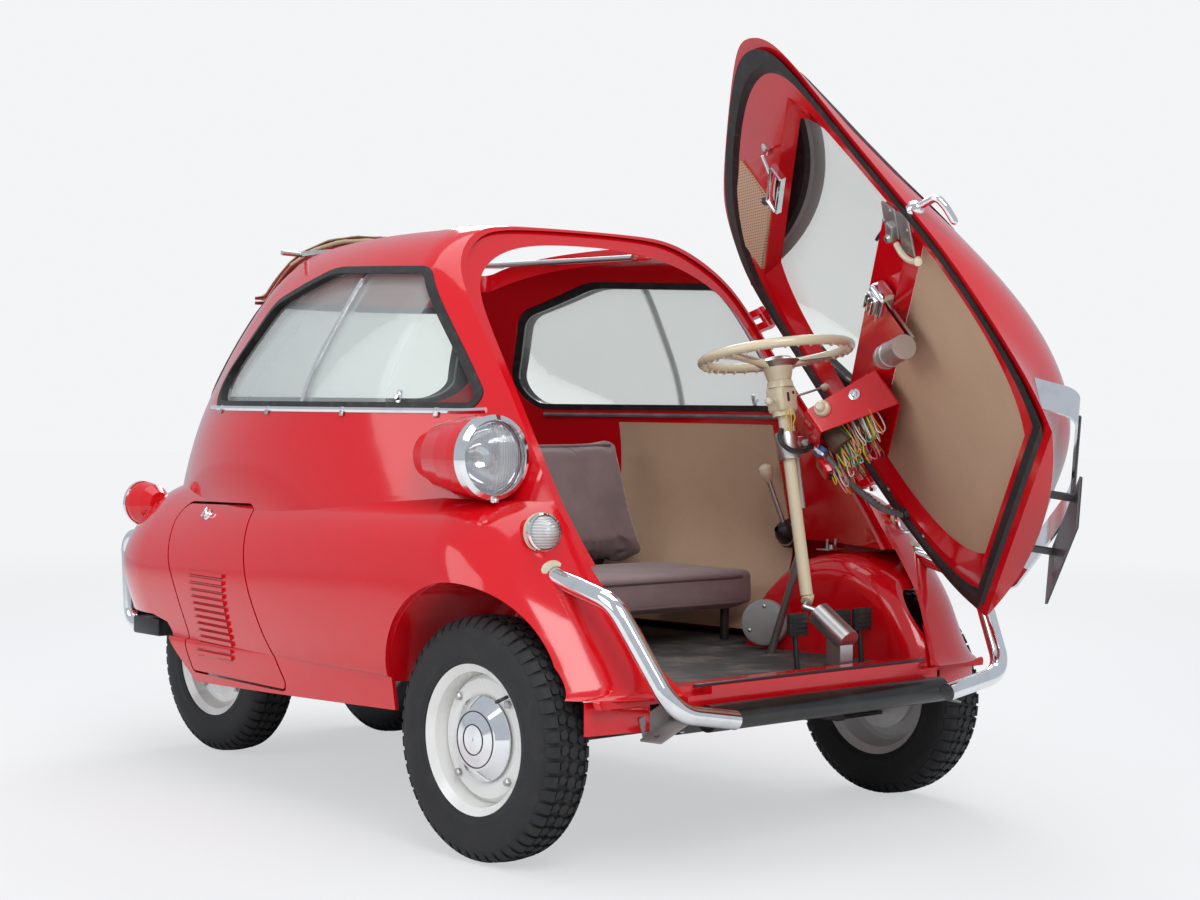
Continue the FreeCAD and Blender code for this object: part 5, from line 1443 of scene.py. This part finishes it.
class CAR_OT_cabin(bpy.types.Operator):
    """Furnish the cabin: lever knob and boot, gear cover, pedal rubbers, wheelhouse bracket and pouch"""
    bl_idname = "bubble_car.cabin"
    bl_label = "Cabin"

    def execute(self, context):
        lathe("gear_knob", "cream", "root",
              [(0, -0.022), (0.008, -0.020), (0.015, -0.008), (0.0185, 0.004), (0.0165, 0.014),
               (0.008, 0.021), (0, 0.0225)], car(0.499, -0.450, 0.746), (-0.3, 0.1, 0.9), 32)
        lathe("gear_boot", "black", "root",
              [(0.036, 0.0), (0.037, 0.008), (0.030, 0.014), (0.031, 0.020), (0.024, 0.026), (0.025, 0.032),
               (0.017, 0.040), (0.010, 0.048), (0.007, 0.052)],
              car(0.5675, -0.470, 0.597), (-1, 0.05, 0.25), 40, 60.0)
        at = car(0.350, -0.590, 0.402)
        way = Vector((-0.82, -0.55, 0.12)).normalized()
        lathe("pedal_gear_cover", "grey_paint", "root",
              [(0, 0.014), (0.046, 0.014), (0.053, 0.010), (0.055, 0.002), (0.055, -0.016), (0, -0.016)],
              at, way, 56, 30.0)
        screws = Piece("gear_cover_screws", "steel", "root")
        side = way.cross(Vector((0, 0, 1))).normalized()
        rise = side.cross(way)
        for angle in (90, 210, 330):
            turn = math.radians(angle)
            ring = side * math.cos(turn) + rise * math.sin(turn)
            screws.screw(at + way * 0.0145 + ring * 0.038, way, 0.0048)
        screws.done()
        pads = Piece("pedal_rubbers", "seal", "root")
        for x in (0.120, 0.260, 0.330):
            pads.block((0.056, 0.008, 0.050), Matrix.Translation(car(x, -0.9065, 0.4375)), 0.003)
            for row in range(4):
                pads.block((0.050, 0.004, 0.004), Matrix.Translation(car(x, -0.9115, 0.4235 + row * 0.0095)),
                           0.001)
        pads.done()
        bracket = Piece("wheelhouse_bracket", "steel", "root")
        bracket.block((0.060, 0.040, 0.003), Matrix.Translation(car(0.455, -0.700, 0.5755)), 0.001)
        for shift in (-0.014, 0.014):
            bracket.pipe([car(0.455 + shift, -0.700, 0.575), car(0.455 + shift, -0.702, 0.600)], 0.0035, 8)
        bracket.turned([(0, 0.010), (0.008, 0.009), (0.011, 0.0), (0, 0.0)], car(0.455, -0.700, 0.577),
                       (0, 0, 1), 6)
        bracket.done()
        pouch = Piece("hanging_pouch", "grey_rubber", "root")
        pouch.block((0.010, 0.085, 0.170), Matrix.Translation(car(0.556, -0.585, 0.735)), 0.0042, 3)
        pouch.done()
        return {"FINISHED"}


CLASSES = [CarColours, CarSizes, CAR_OT_stage, CAR_OT_finishes, CAR_OT_tyres, CAR_OT_wheels, CAR_OT_seat,
           CAR_OT_roof, CAR_OT_lamps, CAR_OT_bumpers, CAR_OT_windows, CAR_OT_body_details,
           CAR_OT_door_details, CAR_OT_instruments, CAR_OT_steering, CAR_OT_cabin]
STEPS = ["stage", "finishes", "tyres", "wheels", "seat", "roof", "lamps", "bumpers", "windows",
         "body_details", "door_details", "instruments", "steering", "cabin"]


class CAR_PT_panel(bpy.types.Panel):
    """The sidebar's buttons, one for each group of pieces, and the colours and sizes"""
    bl_idname = "CAR_PT_panel"
    bl_label = "Bubble Car"
    bl_space_type = "VIEW_3D"
    bl_region_type = "UI"
    bl_category = "Bubble Car"

    def draw(self, context):
        for step in STEPS:
            self.layout.operator("bubble_car." + step)
        for group in (context.scene.car_colours, context.scene.car_sizes):
            for name in group.bl_rna.properties.keys():
                if name not in ("rna_type", "name"):
                    self.layout.prop(group, name)


def register():
    for cls in CLASSES + [CAR_PT_panel]:
        bpy.utils.register_class(cls)
    bpy.types.Scene.car_colours = PointerProperty(type=CarColours)
    bpy.types.Scene.car_sizes = PointerProperty(type=CarSizes)


def unregister():
    del bpy.types.Scene.car_sizes
    del bpy.types.Scene.car_colours
    for cls in reversed(CLASSES + [CAR_PT_panel]):
        bpy.utils.unregister_class(cls)


def main():
    register()
    for step in STEPS:
        getattr(bpy.ops.bubble_car, step)()


if __name__ == "__main__":
    main()
